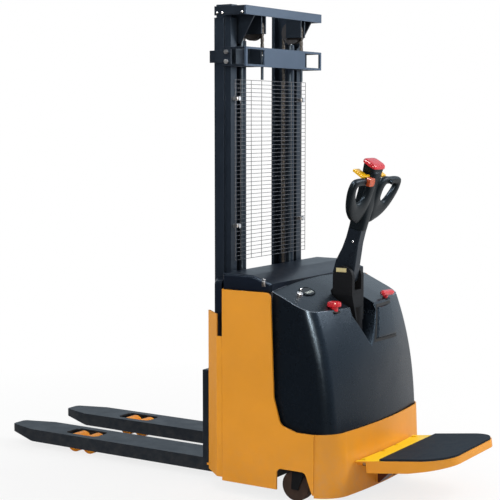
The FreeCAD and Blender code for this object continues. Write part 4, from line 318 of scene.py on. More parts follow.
FINISHES = (
    paint("mast_black", (0.010, 0.0135, 0.021), rough=0.36, worn_and_edge_highlight=(0.07, 0.08, 0.095), wear=0.4,
          specular=0.48, sheen=BLUISH),
    # Forks: pale, heavy edge wear that also paints the highlight along their top edges.
    paint("fork_black", (0.013, 0.015, 0.019), rough=0.40, worn_and_edge_highlight=(0.24, 0.25, 0.26), wear=0.85,
          dust=0.08, specular=0.34, sheen=BLUISH),
    paint("leg_black", (0.015, 0.017, 0.020), rough=0.5, worn_and_edge_highlight=(0.14, 0.13, 0.12), wear=0.6, dust=0.25),
    paint("body_yellow", YELLOW, rough=0.34, wear=0.25, dust=0.12, coat=0.06, rounded=0.0004),
    skirt_paint(YELLOW),
    frame_paint((0.03, 0.03, 0.034), YELLOW),
    # Hood: the pale colour on its side rims' edges is a painted highlight.
    moulding("hood_black", BLACK, rough=0.27, specular=0.33, sheen=BLUISH, rounded=0.005,
             rubbed_and_rim_highlight=(0.42, 0.47, 0.55)),
    moulding("cover_grey", (0.007, 0.010, 0.018), rough=0.32, specular=0.20, sheen=BLUISH),
    # Crossbars: their lighter bluish rear plates are a painted reflection.
    crossbar_paint((0.046, 0.068, 0.108), (0.010, 0.0125, 0.018)),
    metal("wire_grey", (0.13, 0.135, 0.15), rough=0.40),
    metal("zinc", (0.60, 0.61, 0.63), rough=0.32, brushed=(1.0, 1.0, 1.0)),
    metal("chrome_rod", (0.78, 0.79, 0.81), rough=0.12, brushed=(1.0, 1.0, 30.0)),
    metal("roller_steel", (0.40, 0.40, 0.41), rough=0.3),
    metal("chain_steel", (0.16, 0.15, 0.14), rough=0.38, tint=(0.05, 0.035, 0.02)),
    metal("pulley_black", (0.07, 0.07, 0.075), rough=0.45),
    rubber("roller_amber", (0.98, 0.31, 0.010), rough=0.3, specular=0.2),
    moulding("battery_case", (0.03, 0.03, 0.034), rough=0.5),
    moulding("oil_white", (0.55, 0.55, 0.52), rough=0.4),
    metal("alu_cast", (0.5, 0.51, 0.53), rough=0.42, brushed=(1.0, 1.0, 1.0)),
    paint("gear_iron", (0.07, 0.07, 0.08), rough=0.5),
    rubber("drive_tyre", (0.05, 0.03, 0.02)),
    rubber("caster_tyre", (0.045, 0.022, 0.014)),
    moulding("handle_black", (0.0062, 0.0085, 0.0095), rough=0.36, grain=0.00008,
             grain_scale=620.0, specular=0.19, sheen=BLUISH),
    paint("arm_black", (0.010, 0.013, 0.018), rough=0.30, wear=0.3, specular=0.40, sheen=BLUISH),
    moulding("button_red", (0.60, 0.018, 0.028), rough=0.2),
    moulding("wing_yellow", (0.95, 0.52, 0.006), rough=0.24),
    moulding("rocker_orange", (0.50, 0.075, 0.018), rough=0.26),
    rubber("mat_rubber", (0.014, 0.019, 0.026), rough=0.7, specular=0.14, sheen=BLUISH),
    paint("column_black", (0.008, 0.009, 0.011), rough=0.5, wear=0.2, specular=0.10),
    rubber("seal_black", (0.004, 0.004, 0.005), rough=0.7),
    moulding("lens_dark", (0.006, 0.007, 0.010), rough=0.2, specular=0.2),
    moulding("lamp_green", (0.55, 0.60, 0.55), rough=0.3),
    moulding("label_cream", (0.62, 0.53, 0.26), rough=0.42),
    platform_paint(YELLOW),
    metal("key_metal", (0.62, 0.62, 0.62), rough=0.28),
)
LOOKS = {finish.name.split(".")[0]: finish for finish in FINISHES}

# Nodes whose finish differs from the one their record's material names.
OTHER_LOOKS = {"rear_skirt": "skirt_paint", "platform_plate": "platform_yellow", "tiller_base": "column_black",
               "caster_fork_left": "column_black", "caster_fork_right": "column_black", "chain_anchors": "mast_black"}


def dress_nodes():
    """Gives every CAD node the finish of its slot in the record, or its other look."""
    for name, node in NODES.items():
        slot = node.data.materials[0].name.split(".")[0]
        node.data.materials.clear()
        node.data.materials.append(LOOKS[OTHER_LOOKS.get(name, slot)])


# ---- mesh kit ----
def joint(name):
    """The record's joint of that name, in metres."""
    return next(j for j in frame["joints"] if j["name"] == name)


def linked(name, data):
    """New object of the scene."""
    thing = bpy.data.objects.new(name, data)
    bpy.context.scene.collection.objects.link(thing)
    return thing


class Mesh:
    """Collects vertices and faces in the row frame, in metres."""

    def __init__(self):
        self.points = []
        self.faces = []

    def ring_skin(self, rings, capped=True, closed=False):
        """Quads between rings of equal count, with a face over each open end."""
        count = len(rings[0])
        start = len(self.points)
        for ring in rings:
            self.points += [tuple(p) for p in ring]
        total = len(rings)
        for r in range(total if closed else total - 1):
            a, b = start + r * count, start + ((r + 1) % total) * count
            for i in range(count):
                k = (i + 1) % count
                self.faces.append((a + i, a + k, b + k, b + i))
        if capped and not closed:
            for base, flip in ((start, True), (start + (total - 1) * count, False)):
                order = list(range(base, base + count))
                self.faces.append(tuple(reversed(order)) if flip else tuple(order))

    def tube(self, path, radius, sides=8):
        """Round tube along points, with rings square to the path."""
        rings = []
        up = Vector((0.31, 0.17, 0.93))     # no tube runs this way
        for i, point in enumerate(path):
            ahead = Vector(path[min(i + 1, len(path) - 1)]) - Vector(path[max(i - 1, 0)])
            side = ahead.cross(up).normalized()
            other = ahead.cross(side).normalized()
            size = radius[i] if hasattr(radius, "__len__") else radius
            rings.append([Vector(point) + side * size * math.cos(2 * math.pi * k / sides)
                          + other * size * math.sin(2 * math.pi * k / sides) for k in range(sides)])
        self.ring_skin(rings)

    def lathe(self, profile, placed, sides=40):
        """Round shape from (radius, height) points about the local Z axis."""
        circle = [(math.cos(2 * math.pi * i / sides), math.sin(2 * math.pi * i / sides)) for i in range(sides)]
        self.ring_skin([[placed(Vector((r * c, r * s, h))) for c, s in circle] for r, h in profile])
        return self

    def slab(self, low, high, edge=0.0008):
        """Block with small chamfered edges."""
        low, high = Vector(low), Vector(high)
        rings = []
        for z, inset in ((low.z, edge), (low.z + edge, 0.0), (high.z - edge, 0.0), (high.z, edge)):
            x0, x1, y0, y1 = low.x + inset, high.x - inset, low.y + inset, high.y - inset
            rings.append([(x0 + edge, y0, z), (x1 - edge, y0, z), (x1, y0 + edge, z), (x1, y1 - edge, z),
                          (x1 - edge, y1, z), (x0 + edge, y1, z), (x0, y1 - edge, z), (x0, y0 + edge, z)])
        self.ring_skin(rings)

    def made(self, name, body, look, replaces=()):
        """The collected mesh as a piece that rides on a body, or on none yet."""
        mesh = bpy.data.meshes.new(name)
        mesh.from_pydata(self.points, [], self.faces)
        mesh.validate()
        mesh.update()
        return finished(linked(name, mesh), body, look, replaces)


SHARP_ANGLE = math.radians(38.0)


def finished(thing, body, look, replaces=(), even=False):
    """Gives a piece its material, smooth shading and body, and hides the parts it replaces; even keeps flat faces
    looking flat.
    """
    thing.data.materials.clear()
    thing.data.materials.append(LOOKS[look])
    thing.data.shade_smooth()
    thing.data.set_sharp_from_angle(angle=SHARP_ANGLE)
    if even:
        evener = thing.modifiers.new("even", "WEIGHTED_NORMAL")
        evener.keep_sharp = True
        evener.weight = 100
        thing = applied(thing)
    if body:
        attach(thing, body)
    if replaces:
        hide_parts(*replaces)
    return thing


def applied(thing):
    """The object with its modifiers made final."""
    bpy.context.view_layer.update()
    graph = bpy.context.evaluated_depsgraph_get()
    mesh = bpy.data.meshes.new_from_object(thing.evaluated_get(graph), depsgraph=graph)
    name = thing.name
    bpy.data.objects.remove(thing)
    return linked(name, mesh)


def oval(centre, across, deep, half_a, half_d, power=2.0, count=48):
    """Ring of a superellipse; power 2 is an ellipse and more is boxier."""
    ring = []
    for i in range(count):
        angle = 2 * math.pi * i / count
        c, s = math.cos(angle), math.sin(angle)
        ring.append(centre + across * (half_a * math.copysign(abs(c) ** (2 / power), c))
                    + deep * (half_d * math.copysign(abs(s) ** (2 / power), s)))
    return ring


def eased(near, steps):
    """Catmull-Rom values from the second to the third of four keyed tuples."""
    out = []
    for j in range(steps):
        t = j / steps
        out.append(tuple(0.5 * (2 * b + (c - a) * t + (2 * a - 5 * b + 4 * c - d) * t * t
                                + (3 * b - a - 3 * c + d) * t ** 3) for a, b, c, d in zip(*near)))
    return out


def glide(keys, steps):
    """Smooth values through keyed tuples, with steps between each pair."""
    out = []
    last = len(keys) - 1
    for i in range(last):
        out += eased((keys[max(i - 1, 0)], keys[i], keys[i + 1], keys[min(i + 2, last)]), steps)
    return out + [tuple(keys[last])]


def closed_glide(keys, steps):
    """The same round a closed loop of keys."""
    out = []
    count = len(keys)
    for i in range(count):
        out += eased([keys[(i + k - 1) % count] for k in range(4)], steps)
    return out


def standing(origin, up):
    """Placer for local points: z along a unit vector from an origin."""
    side = up.orthogonal().normalized()
    other = up.cross(side)
    return lambda p: origin + side * p.x + other * p.y + up * p.z


# ---- camera, light and floor ----
def camera():
    """Camera at the photo's viewpoint: behind the near rear corner, at eye height, with a long lens."""
    tilt_down, turn = 0.09636, 0.5679
    data = bpy.data.cameras.new("camera")
    data.lens, data.sensor_width = 96.76, 36.0
    rig = linked("camera", data)
    rig.location = (3.2166, -4.9518, 1.5292)
    rig.rotation_euler = (math.pi / 2 - tilt_down, 0.0, turn)
    bpy.context.scene.camera = rig


def softbox(name, place, aim, size, power, mirrored=True, lit=True, colour=WHITE):
    """Rectangular lamp; mirrored shows it in reflections and lit lets it light matt surfaces."""
    data = bpy.data.lights.new(name, "AREA")
    data.shape = "RECTANGLE"
    data.size, data.size_y = size
    data.energy = power
    data.color = colour
    lamp = linked(name, data)
    lamp.location = place
    lamp.rotation_euler = (Vector(aim) - Vector(place)).to_track_quat("-Z", "Y").to_euler()
    lamp.visible_glossy = mirrored
    lamp.visible_diffuse = lit


def world():
    """White behind the object; soft light from all round, and cool reflections, brighter from the rear right."""
    bright_side = (0.45, 0.80, 0.40)
    dim, bright, ambient = 0.03, 0.84, 0.62
    cool = (0.76, 0.89, 1.0)
    sky = bpy.data.worlds.new("studio")
    sky.use_nodes = True
    graph = Graph(sky.node_tree)
    back = graph.nodes["Background"]
    ray = graph.add("ShaderNodeLightPath").outputs
    direction = graph.add("ShaderNodeTexCoord").outputs["Generated"]
    dot = graph.add("ShaderNodeVectorMath", (("operation", "DOT_PRODUCT"),), i0=direction, i1=bright_side)
    mirror = graph.span(dot.outputs["Value"], -0.4, 0.8, dim, bright)
    light = graph.add("ShaderNodeMix", i0=ray["Is Glossy Ray"], i2=ambient, i3=mirror).outputs[0]
    seen = graph.math("MAXIMUM", ray["Is Camera Ray"], ray["Is Transmission Ray"])
    graph.feed(back.inputs["Strength"], graph.add("ShaderNodeMix", i0=seen, i2=light, i3=1.0).outputs[0])
    graph.feed(back.inputs["Color"], graph.blend(ray["Is Glossy Ray"], WHITE, cool))
    bpy.context.scene.world = sky


def floor():
    """Pale round floor that fades to white away from the object."""
    radius, sides, drop = 60.0, 96, 0.0005
    fade_from, fade_to, white_share = 1.0, 2.6, 0.80
    left, right, dim, bright = -1.5, 2.5, 0.03, 0.8
    centre = (CAD_LOW + CAD_HIGH) / 2
    centre.z = CAD_LOW.z - drop
    disc = Mesh()
    disc.points = oval(centre, AHEAD, ACROSS, radius, radius, count=sides)
    disc.faces = [tuple(range(sides))]
    plane = loose(disc, "floor")
    look = Look("floor", specular=0.1)
    look.surface(look.blend(look.noise(2.0, 3.0), (0.86, 0.86, 0.86), (0.90, 0.90, 0.90)), 0.8)
    length = look.add("ShaderNodeVectorMath", (("operation", "LENGTH"),), i0=look.place).outputs["Value"]
    far = look.span(length, fade_from, fade_to, white_share, 1.0)
    ray = look.add("ShaderNodeLightPath").outputs
    white = look.add("ShaderNodeEmission", Color=(*WHITE, 1.0), Strength=1.0)
    shown = look.add("ShaderNodeMixShader", i0=look.math("MULTIPLY", far, ray["Is Camera Ray"]),
                     i1=look.bsdf.outputs[0], i2=white.outputs[0])
    sheen = look.span(look.axis("Y"), left, right, dim, bright)
    mirrored = look.add("ShaderNodeEmission", Color=(*WHITE, 1.0), Strength=sheen)
    mix = look.add("ShaderNodeMixShader", i0=ray["Is Glossy Ray"], i1=shown.outputs[0], i2=mirrored.outputs[0])
    look.feed(look.nodes["Material Output"].inputs["Surface"], mix.outputs[0])
    plane.data.materials.append(look.mat)


# ---- guard and chains ----
def guard_wires():
    """Welded mesh of round wires, one of them along each side, and its four clips."""
    low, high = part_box("mesh_guard")
    wire, pitch, span, columns = 0.0012, 0.017, 0.082, 3
    end, side_wire = 0.001, 0.003
    x = high.x - 2 * wire
    mesh = Mesh()
    rows = int((high.z - low.z) / pitch)
    for i in range(rows + 1):
        z = low.z + wire + i * pitch
        mesh.tube([(x - wire, low.y + end, z), (x - wire, 0.0, z), (x - wire, high.y - end, z)], wire)
    top = low.z + wire + rows * pitch
    upright_x = x + wire * 0.7
    for y in [i * span for i in range(-columns, columns + 1)] + [low.y + side_wire, high.y - side_wire]:
        mesh.tube([(upright_x, y, low.z), (upright_x, y, (low.z + top) / 2), (upright_x, y, top + wire)], wire)
    mesh.made("guard_wires", "chassis", "wire_grey", ("mesh_guard",))
    guard_clips(x + wire * 1.6)


def guard_clips(front_x):
    """Clips that hold the guard to the outer mast, two on each side."""
    clip_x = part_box("outer_mast_left")[1].x
    seat, half_y, half_z, out_y = 0.0005, 0.012, 0.007, 0.262
    clips = Mesh()
    for side in (-1, 1):
        for z in (1.090, 1.618):
            y = side * out_y
            clips.slab((clip_x - seat, y - half_y, z - half_z), (front_x, y + half_y, z + half_z))
    clips.made("guard_clips", "chassis", "zinc")


def chain_plate(mesh, ends, along, low_y, high_y):
    """One link plate round two pins, between two y values."""
    height, corners = 0.0046, 12
    up = along.cross(ACROSS)
    rings = []
    for y in (low_y, high_y):
        ring = []
        for k in range(corners):
            angle = 2 * math.pi * k / corners
            pin = ends[1] if math.cos(angle) > 0 else ends[0]
            ring.append(pin + along * math.cos(angle) * height + up * math.sin(angle) * height + Vector((0, y, 0)))
        rings.append(ring)
    mesh.ring_skin(rings)


def leaf_chain(name, node, path):
    """Leaf chain on both sides: plates and pins along a path, stretching between two bodies' ends."""
    pitch, plate, half_w, pin, half_solid = 0.0127, 0.0016, 0.0074, 0.0019, 0.008
    four_plates, three_plates = (-0.0060, -0.0020, 0.0020, 0.0060), (-0.0040, 0.0, 0.0040)
    lengths = [0.0]
    for a, b in zip(path, path[1:]):
        lengths.append(lengths[-1] + (Vector(b) - Vector(a)).length)

    def at(distance):
        for i in range(len(path) - 1):
            if distance <= lengths[i + 1] or i == len(path) - 2:
                share = (distance - lengths[i]) / max(1e-9, lengths[i + 1] - lengths[i])
                return Vector(path[i]).lerp(Vector(path[i + 1]), share)

    mesh = Mesh()
    centre_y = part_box(node)[1].y - half_solid
    for side in (-1, 1):
        y = side * centre_y
        for link in range(int(lengths[-1] / pitch)):
            a, b = at(link * pitch), at((link + 1) * pitch)
            along = (b - a).normalized()
            for offset in four_plates if link % 2 else three_plates:
                chain_plate(mesh, (a, b), along, y + offset - plate / 2, y + offset + plate / 2)
            mesh.tube([a + Vector((0, y - half_w, 0)), a + Vector((0, y + half_w, 0))], pin)
    thing = mesh.made(name, None, "chain_steel", (node,))
    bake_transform(thing)


def lift_chains():
    """Front strand over the pulley to the carriage, and rear strand down to the anchor."""
    front_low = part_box("chain_front_strands")[0]
    rear_low, rear_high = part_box("chain_rear_strands")
    pulley_low, pulley_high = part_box("chain_pulleys")
    hub = (pulley_low + pulley_high) / 2
    rear_x = (rear_low.x + rear_high.x) / 2
    radius = rear_x - hub.x
    front_x = hub.x - radius
    below_hub, rear_start, rear_below = 0.05, 0.002, 0.01
    steps = 24
    arc = []
    for i in range(steps + 1):
        angle = math.pi * i / steps
        arc.append((hub.x - radius * math.cos(angle), 0.0, hub.z + radius * math.sin(angle)))
    front_foot, rear_foot = (front_x, 0.0, front_low.z), (rear_x, 0.0, rear_low.z)
    leaf_chain("lift_chain_front", "chain_front_strands", [front_foot] + arc)
    leaf_chain("lift_chain_rear", "chain_rear_strands", [(rear_x, 0.0, hub.z - rear_start), rear_foot])


# ---- tiller ----
PIVOT = Vector(joint("tiller_tilt")["pos_m"])
LEAN = math.radians(15.0)
HEAD_LEAN = math.radians(7.0)  # of the grips, from the arm
HEAD_S0 = 0.226                # the grips lean from this point up the arm


def leaned(point):
    """Tiller point (p, y, s) into the row frame: p towards the operator, s up the arm."""
    p, y, s = point
    return PIVOT + Vector((p * math.cos(LEAN) + s * math.sin(LEAN), y, s * math.cos(LEAN) - p * math.sin(LEAN)))


def gripped(point):
    """The same for the hand grips, which lean back a little more."""
    p, y, s = point
    s -= HEAD_S0
    return leaned((p * math.cos(HEAD_LEAN) + s * math.sin(HEAD_LEAN), y,
                   HEAD_S0 + s * math.cos(HEAD_LEAN) - p * math.sin(HEAD_LEAN)))


def leaned_oval(centre, deep, half_y, half_d, power, count=48):
    """Superellipse across the tiller, about a (p, y, s) point."""
    return [leaned(q) for q in oval(Vector(centre), ACROSS, deep, half_y, half_d, power, count)]


def lofted(sections, power=3.2, round_low=0.004, round_high=0.004):
    """Loft of superellipses from (s, p, half across, half deep) keys, with rounded ends."""
    steps, end_steps = 6, 5
    keys = glide(sections, steps)
    first, last = keys[0], keys[-1]

    def ends(key, reach, outward):
        out = []
        for k in range(end_steps):
            angle = math.pi / 2 * k / end_steps
            drop = reach * (1 - math.sin(angle)) * outward
            inset = reach * (1 - math.cos(math.pi / 2 - angle))
            out.append((key[0] + drop - reach * outward, key[1], key[2] - inset, key[3] - inset))
        return out

    low = ends(first, round_low, -1)
    high = ends(last, round_high, 1)
    mesh = Mesh()
    mesh.ring_skin([leaned_oval((p, 0.0, s), AHEAD, half_y, half_d, power)
                    for s, p, half_y, half_d in low + keys[1:-1] + high[::-1]])
    return mesh


def joined(name, things):
    """Several mesh objects as one."""
    mesh = bpy.data.meshes.new(name)
    points, faces = [], []
    for thing in things:
        base = len(points)
        points += [tuple(v.co) for v in thing.data.vertices]
        faces += [tuple(base + i for i in f.vertices) for f in thing.data.polygons]
        bpy.data.objects.remove(thing)
    mesh.from_pydata(points, [], faces)
    return linked(name, mesh)


def loose(mesh, name):
    """A collected mesh as an object that is still to be joined or used as a cutter."""
    data = bpy.data.meshes.new(name)
    data.from_pydata(mesh.points, [], mesh.faces)
    return linked(name, data)


def melted(thing, voxel, passes):
    """Skin grown over joined shapes and smoothed where they meet."""
    remesh = thing.modifiers.new("skin", "REMESH")
    remesh.mode = "VOXEL"
    remesh.voxel_size = voxel
    smooth = thing.modifiers.new("smooth", "SMOOTH")
    smooth.factor = 0.5
    smooth.iterations = passes
    return applied(thing)


def carved(thing, cutters):
    """The object with each cutter's shape taken out of it."""
    for cutter in cutters:
        cut = thing.modifiers.new("cut", "BOOLEAN")
        cut.operation = "DIFFERENCE"
        cut.solver = "EXACT"
        cut.object = cutter
    result = applied(thing)
    for cutter in cutters:
        bpy.data.objects.remove(cutter)
    return result


# Closed loop round one hand grip: outer (y, s) point and the hole's (y, s) point across from it.
GRIP_LOOP = ((0.046, 0.234, 0.076, 0.346), (0.092, 0.242, 0.094, 0.330), (0.138, 0.264, 0.118, 0.326),
             (0.180, 0.303, 0.141, 0.344), (0.207, 0.354, 0.162, 0.370), (0.214, 0.394, 0.171, 0.392),
             (0.203, 0.425, 0.163, 0.402), (0.164, 0.434, 0.138, 0.404), (0.110, 0.434, 0.106, 0.404),
             (0.056, 0.434, 0.078, 0.402), (0.016, 0.400, 0.070, 0.384), (0.016, 0.300, 0.070, 0.362))


def grip_ring(side):
    """One closed hand grip, rounded in section, on one side of the neck."""
    mesh = Mesh()
    half_deep, power, sides, steps = 0.0142, 2.4, 20, 5
    rings = []
    for y0, s0, y1, s1 in closed_glide(GRIP_LOOP, steps):
        middle = Vector((0.0, side * (y0 + y1) / 2, (s0 + s1) / 2))
        outward = Vector((0.0, side * (y0 - y1) / 2, (s0 - s1) / 2))
        rings.append([gripped(p) for p in oval(middle, outward, AHEAD, 1.0, half_deep, power, sides)])
    mesh.ring_skin(rings, closed=True)
    return loose(mesh, "grip_ring")


def tiller_head():
    """One moulding, the neck with two closed grips, hollowed for the arm, the throttle and the horn."""
    voxel, passes = 0.0028, 6
    neck = lofted([(0.200, -0.010, 0.033, 0.033), (0.250, -0.010, 0.034, 0.035), (0.300, -0.009, 0.040, 0.034),
                   (0.350, -0.008, 0.044, 0.032), (0.400, -0.008, 0.0435, 0.032), (0.456, -0.008, 0.0435, 0.032)],
                  round_high=0.006)
    whole = joined("tiller_head_shell", [grip_ring(1), grip_ring(-1), loose(neck, "neck")])
    whole = melted(whole, voxel, passes)
    whole = carved(whole, [arm_socket(), throttle_bore(), horn_pocket()])
    finished(whole, "tiller", "handle_black", ("tiller_head",))
    belly_cap()
    lift_key()


def arm_socket():
    """Cutter for the end of the tiller arm."""
    socket = lofted([(0.150, -0.0105, 0.0272, 0.0315), (0.262, -0.010, 0.0272, 0.0302)], power=9.0,
                    round_low=0.001, round_high=0.001)
    return loose(socket, "socket")


def throttle_bore():
    """Cutter for the throttle's shaft, straight across the neck."""
    shaft_s, reach, radius = 0.432, 0.06, 0.0084
    bore = Mesh()
    bore.tube([leaned((0.0, side * reach, shaft_s)) for side in (-1, 0, 1)], radius, 24)
    return loose(bore, "bore")


def horn_pocket():
    """Cutter for the horn button in the far grip."""
    floor_p, top_p, middle_y, middle_s = 0.0325, 0.0480, 0.094, 0.4142
    half_y, half_s, power, sides = 0.0100, 0.0106, 2.6, 32
    pocket = Mesh()
    pocket.ring_skin([leaned_oval((p, middle_y, middle_s), UPWARD, half_y, half_s, power, sides)
                      for p in (floor_p, top_p)])
    return loose(pocket, "pocket")


BELLY_TOP = 0.503
BELLY_FALL = 0.30              # the cap's top falls towards the operator by this slope
BELLY_HALF = (0.054, 0.032)    # across and fore-and-aft
BELLY_MID = -0.008
BELLY_POWER = 5.0              # its outline's boxiness
BELLY_SIDES = 56


def belly_ring(inset, down):
    """Outline of the cap, drawn in and lowered from its top edge."""
    wide, deep = BELLY_HALF
    flat = oval(Vector((BELLY_MID, 0.0, 0.0)), ACROSS, AHEAD, wide - inset, deep - inset, BELLY_POWER, BELLY_SIDES)
    return [leaned(p + Vector((0.0, 0.0, BELLY_TOP - down - BELLY_FALL * (p.x - BELLY_MID + deep)))) for p in flat]


def belly_cap():
    """Red cap, a hollow lid with a rounded rim, over the console's black head that it slides on."""
    wide, deep = BELLY_HALF
    wall, rim = 0.0030, 0.0175
    outer = [(0.0240, 0.0005), (0.0120, 0.0008), (0.0060, 0.0022), (0.0022, 0.0052), (0.0, 0.0100), (0.0, rim),
             (wall, rim)]
    inner = [(wall, wall + 0.0015), (0.0120, wall + 0.0006), (0.0240, wall)]
    shell = Mesh()
    shell.ring_skin([belly_ring(inset, down) for inset, down in outer + inner])
    shell.made("belly_cap", "belly_switch", "button_red", ("belly_button",))
    gap = wall + 0.0010
    top = wall + 0.0125
    foot_s, taper = 0.448, 0.004
    levels = [(0.024, top), (gap + 0.001, top), (gap, top + 0.001), (gap, top + 0.008)]
    foot = leaned_oval((BELLY_MID, 0.0, foot_s), AHEAD, wide - gap - taper, deep - gap, BELLY_POWER, BELLY_SIDES)
    head = Mesh()
    head.ring_skin([belly_ring(inset, down) for inset, down in levels] + [foot])
    head.made("console_head", "tiller", "handle_black")


def lift_key():
    """Orange-red rocker for lift and lower, dished in the middle."""
    middle_y, middle_s, power, sides = -0.094, 0.4215, 5.0, 40
    levels = ((0.0313, 0.0215, 0.0175), (0.0480, 0.0215, 0.0175), (0.0505, 0.0195, 0.0155), (0.0495, 0.0120, 0.0090))
    key = Mesh()
    key.ring_skin([leaned_oval((p, middle_y, middle_s), UPWARD, half_y, half_s, power, sides)
                   for p, half_y, half_s in levels])
    key.made("lift_key", "lift_switch", "rocker_orange", ("lift_rocker",))


# ---- rounded copies of plate and moulded parts ----
def edged(node, name, body, width, look, segments=2, angle=30.0):
    """The part's own shape with its sharp edges rounded."""
    same_point, flat = 0.00002, math.radians(1.5)
    shape = bmesh.new()
    shape.from_mesh(NODES[node].data)
    bmesh.ops.remove_doubles(shape, verts=shape.verts, dist=same_point)
    bmesh.ops.dissolve_limit(shape, angle_limit=flat, verts=shape.verts, edges=shape.edges)
    mesh = bpy.data.meshes.new(name)
    shape.to_mesh(mesh)
    shape.free()
    thing = linked(name, mesh)
    bevel = thing.modifiers.new("edge", "BEVEL")
    bevel.width = width
    bevel.segments = segments
    bevel.limit_method = "ANGLE"
    bevel.angle_limit = math.radians(angle)
    bevel.miter_outer = "MITER_ARC"
    bevel.use_clamp_overlap = True
    finished(applied(thing), body, look, (node,), even=True)


# ---- controls on the hood ----
def upright(node, axis):
    """Placer for local (x, y, h), with h up an axis from the node's lowest point on it, and its height."""
    up = Vector(axis).normalized()
    along = ACROSS.cross(up).normalized()
    side = up.cross(along)
    points = [v.co for v in NODES[node].data.vertices]
    spans = []
    for direction in (along, side, up):
        values = [p.dot(direction) for p in points]
        spans.append((min(values), max(values)))
    foot = along * sum(spans[0]) / 2 + side * sum(spans[1]) / 2 + up * spans[2][0]
    height = spans[2][1] - spans[2][0]
    return lambda p: foot + along * p.x + side * p.y + up * p.z, height


def stop_button():
    """Upright mushroom head with a dished top, on its stem."""
    placed, height = upright("emergency_stop", -Vector(joint("emergency_stop_press")["axis"]))
    foot = placed(Vector((0.0, 0.0, 0.0)))
    head, stem, cap, sides = 0.0285, 0.0165, 0.0205, 48
    profile = [(stem, -0.006), (stem * 0.94, height - cap), (head * 0.94, height - cap), (head, height - cap + 0.002),
               (head, height - 0.007), (head * 0.95, height - 0.0032), (head * 0.79, height - 0.0008),
               (head * 0.62, height), (head * 0.44, height - 0.0012), (head * 0.22, height - 0.0022),
               (0.0008, height - 0.0024)]
    button = Mesh().lathe(profile, lambda p: foot + p, sides)
    button.made("stop_mushroom", "stop_button", "button_red", ("emergency_stop",))
    ring = [(0.0185, 0.0010), (0.0250, 0.0010), (0.0262, 0.0022), (0.0250, 0.0040), (0.0185, 0.0040)]
    Mesh().lathe(ring, placed, sides).made("stop_collar", "chassis", "seal_black")


def main_handle():
    """Pull handle of the battery disconnector: a waisted grip on a square stem, over a flat plate."""
    axis = Vector(joint("main_switch_pull")["axis"])
    placed, height = upright("main_switch", axis)
    half_long, half_wide, half_high, sides = 0.0560, 0.0125, 0.0110, 28
    stem, stem_top, grip_h = 0.0085, height - 0.018, height - 0.0112
    plate_h, plate_x, plate_y, plate_t = 0.0262, 0.019, 0.026, 0.002
    steps, end_power, waist_depth = 16, 8, 0.14
    rings = []
    for i in range(steps + 1):
        t = -1 + 2 * i / steps
        cap = math.sqrt(max(0.02, 1 - abs(t) ** end_power))
        waist = 1.0 - waist_depth * math.cos(t * math.pi / 2) ** 2
        middle = Vector((0.0, t * half_long, grip_h))
        flat = oval(middle, AHEAD, UPWARD, half_wide * cap * waist, half_high * cap, 3.0, sides)
        rings.append([placed(p) for p in flat])
    mesh = Mesh()
    mesh.ring_skin(rings)
    mesh.ring_skin([[placed(p) for p in oval(UPWARD * h, AHEAD, ACROSS, stem, stem * 1.3, 4.0, sides)]
                    for h in (0.0, stem_top)])
    mesh.made("main_handle", "main_switch_handle", "button_red", ("main_switch",))
    plate = Mesh()
    plate.ring_skin([[placed(p) for p in oval(UPWARD * (plate_h + h), AHEAD, ACROSS, plate_x, plate_y, 4.0, 32)]
                     for h in (0.0, plate_t)])
    plate.made("main_switch_plate", "chassis", "handle_black")


GAUGE_HALF_X = 0.030
GAUGE_HALF_Y = 0.041
KEY_REACH = 0.02               # the key barrel's points lie nearer its axis than this, in y


def dash_points(of_gauge):
    """Points of the gauge's solid or of the key barrel's, which share one node."""
    parting = joint("key_turn")["pos_m"][1] + KEY_REACH
    return [v.co for v in NODES["dash_instruments"].data.vertices if (v.co.y > parting) == of_gauge]


def gauge_panel():
    """Oval instrument panel in a raised bezel, with a row of plain cells."""
    up = -Vector(joint("emergency_stop_press")["axis"])
    points = dash_points(True)
    middle = sum(points, Vector()) / len(points)
    foot = middle + up * (min(p.dot(up) for p in points) - middle.dot(up))
    along = ACROSS.cross(up).normalized()
    across = up.cross(along)

    def ring(h, share):
        return oval(foot + up * h, along, across, GAUGE_HALF_X * share, GAUGE_HALF_Y * share, 2.6, 56)

    bezel = Mesh()
    rim = ((0.0, 1.0), (0.0032, 1.0), (0.0048, 0.97), (0.0052, 0.92), (0.0048, 0.86), (0.0030, 0.83))
    bezel.ring_skin([ring(h, share) for h, share in rim], capped=False)
    bezel.made("gauge_bezel", "chassis", "handle_black", ("dash_instruments",))
    face = Mesh()
    face.ring_skin([ring(0.0, 0.84), ring(0.0032, 0.84)])
    face.made("gauge_face", "chassis", "lens_dark")
    count, base, thick = 5, 0.0033, 0.0004
    half_x, half_y = 0.22 * GAUGE_HALF_X, 0.085 * GAUGE_HALF_Y
    cells = Mesh()
    for i in range(count):
        place = foot + up * base + along * (0.34 * GAUGE_HALF_X) + across * (0.26 * GAUGE_HALF_Y * (i - count // 2))
        cells.ring_skin([oval(place + up * h, along, across, half_x, half_y, 6.0, 16) for h in (0.0, thick)])
    cells.made("gauge_cells", "chassis", "lamp_green")


def key_barrel():
    """Bright face of the key switch, round its slot."""
    origin = Vector(joint("key_turn")["pos_m"])
    up = Vector(joint("key_turn")["axis"])
    if up.z < 0:
        up = -up
    heights = [p.dot(up) - origin.dot(up) for p in dash_points(False)]
    low, top = min(heights), max(heights)
    dished = top - 0.0012
    profile = [(0.0130, low), (0.0130, top - 0.0015), (0.0118, top), (0.0075, top), (0.0068, dished),
               (0.0033, dished)]
    Mesh().lathe(profile, standing(origin, up)).made("key_barrel", "chassis", "zinc")


def hood_point(tree, y, z, proud):
    """Point on the hood's rear surface at a height and side, moved out of it a little."""
    hit, normal, _, _ = tree.ray_cast(Vector((CAD_HIGH.x + 1.0, y, z)), Vector((-1, 0, 0)))
    return hit + normal * proud


HATCH_CORNERS = ((-0.028, 0.612), (0.200, 0.606), (0.062, 0.757), (0.222, 0.757))   # (y, z): lower two, upper two


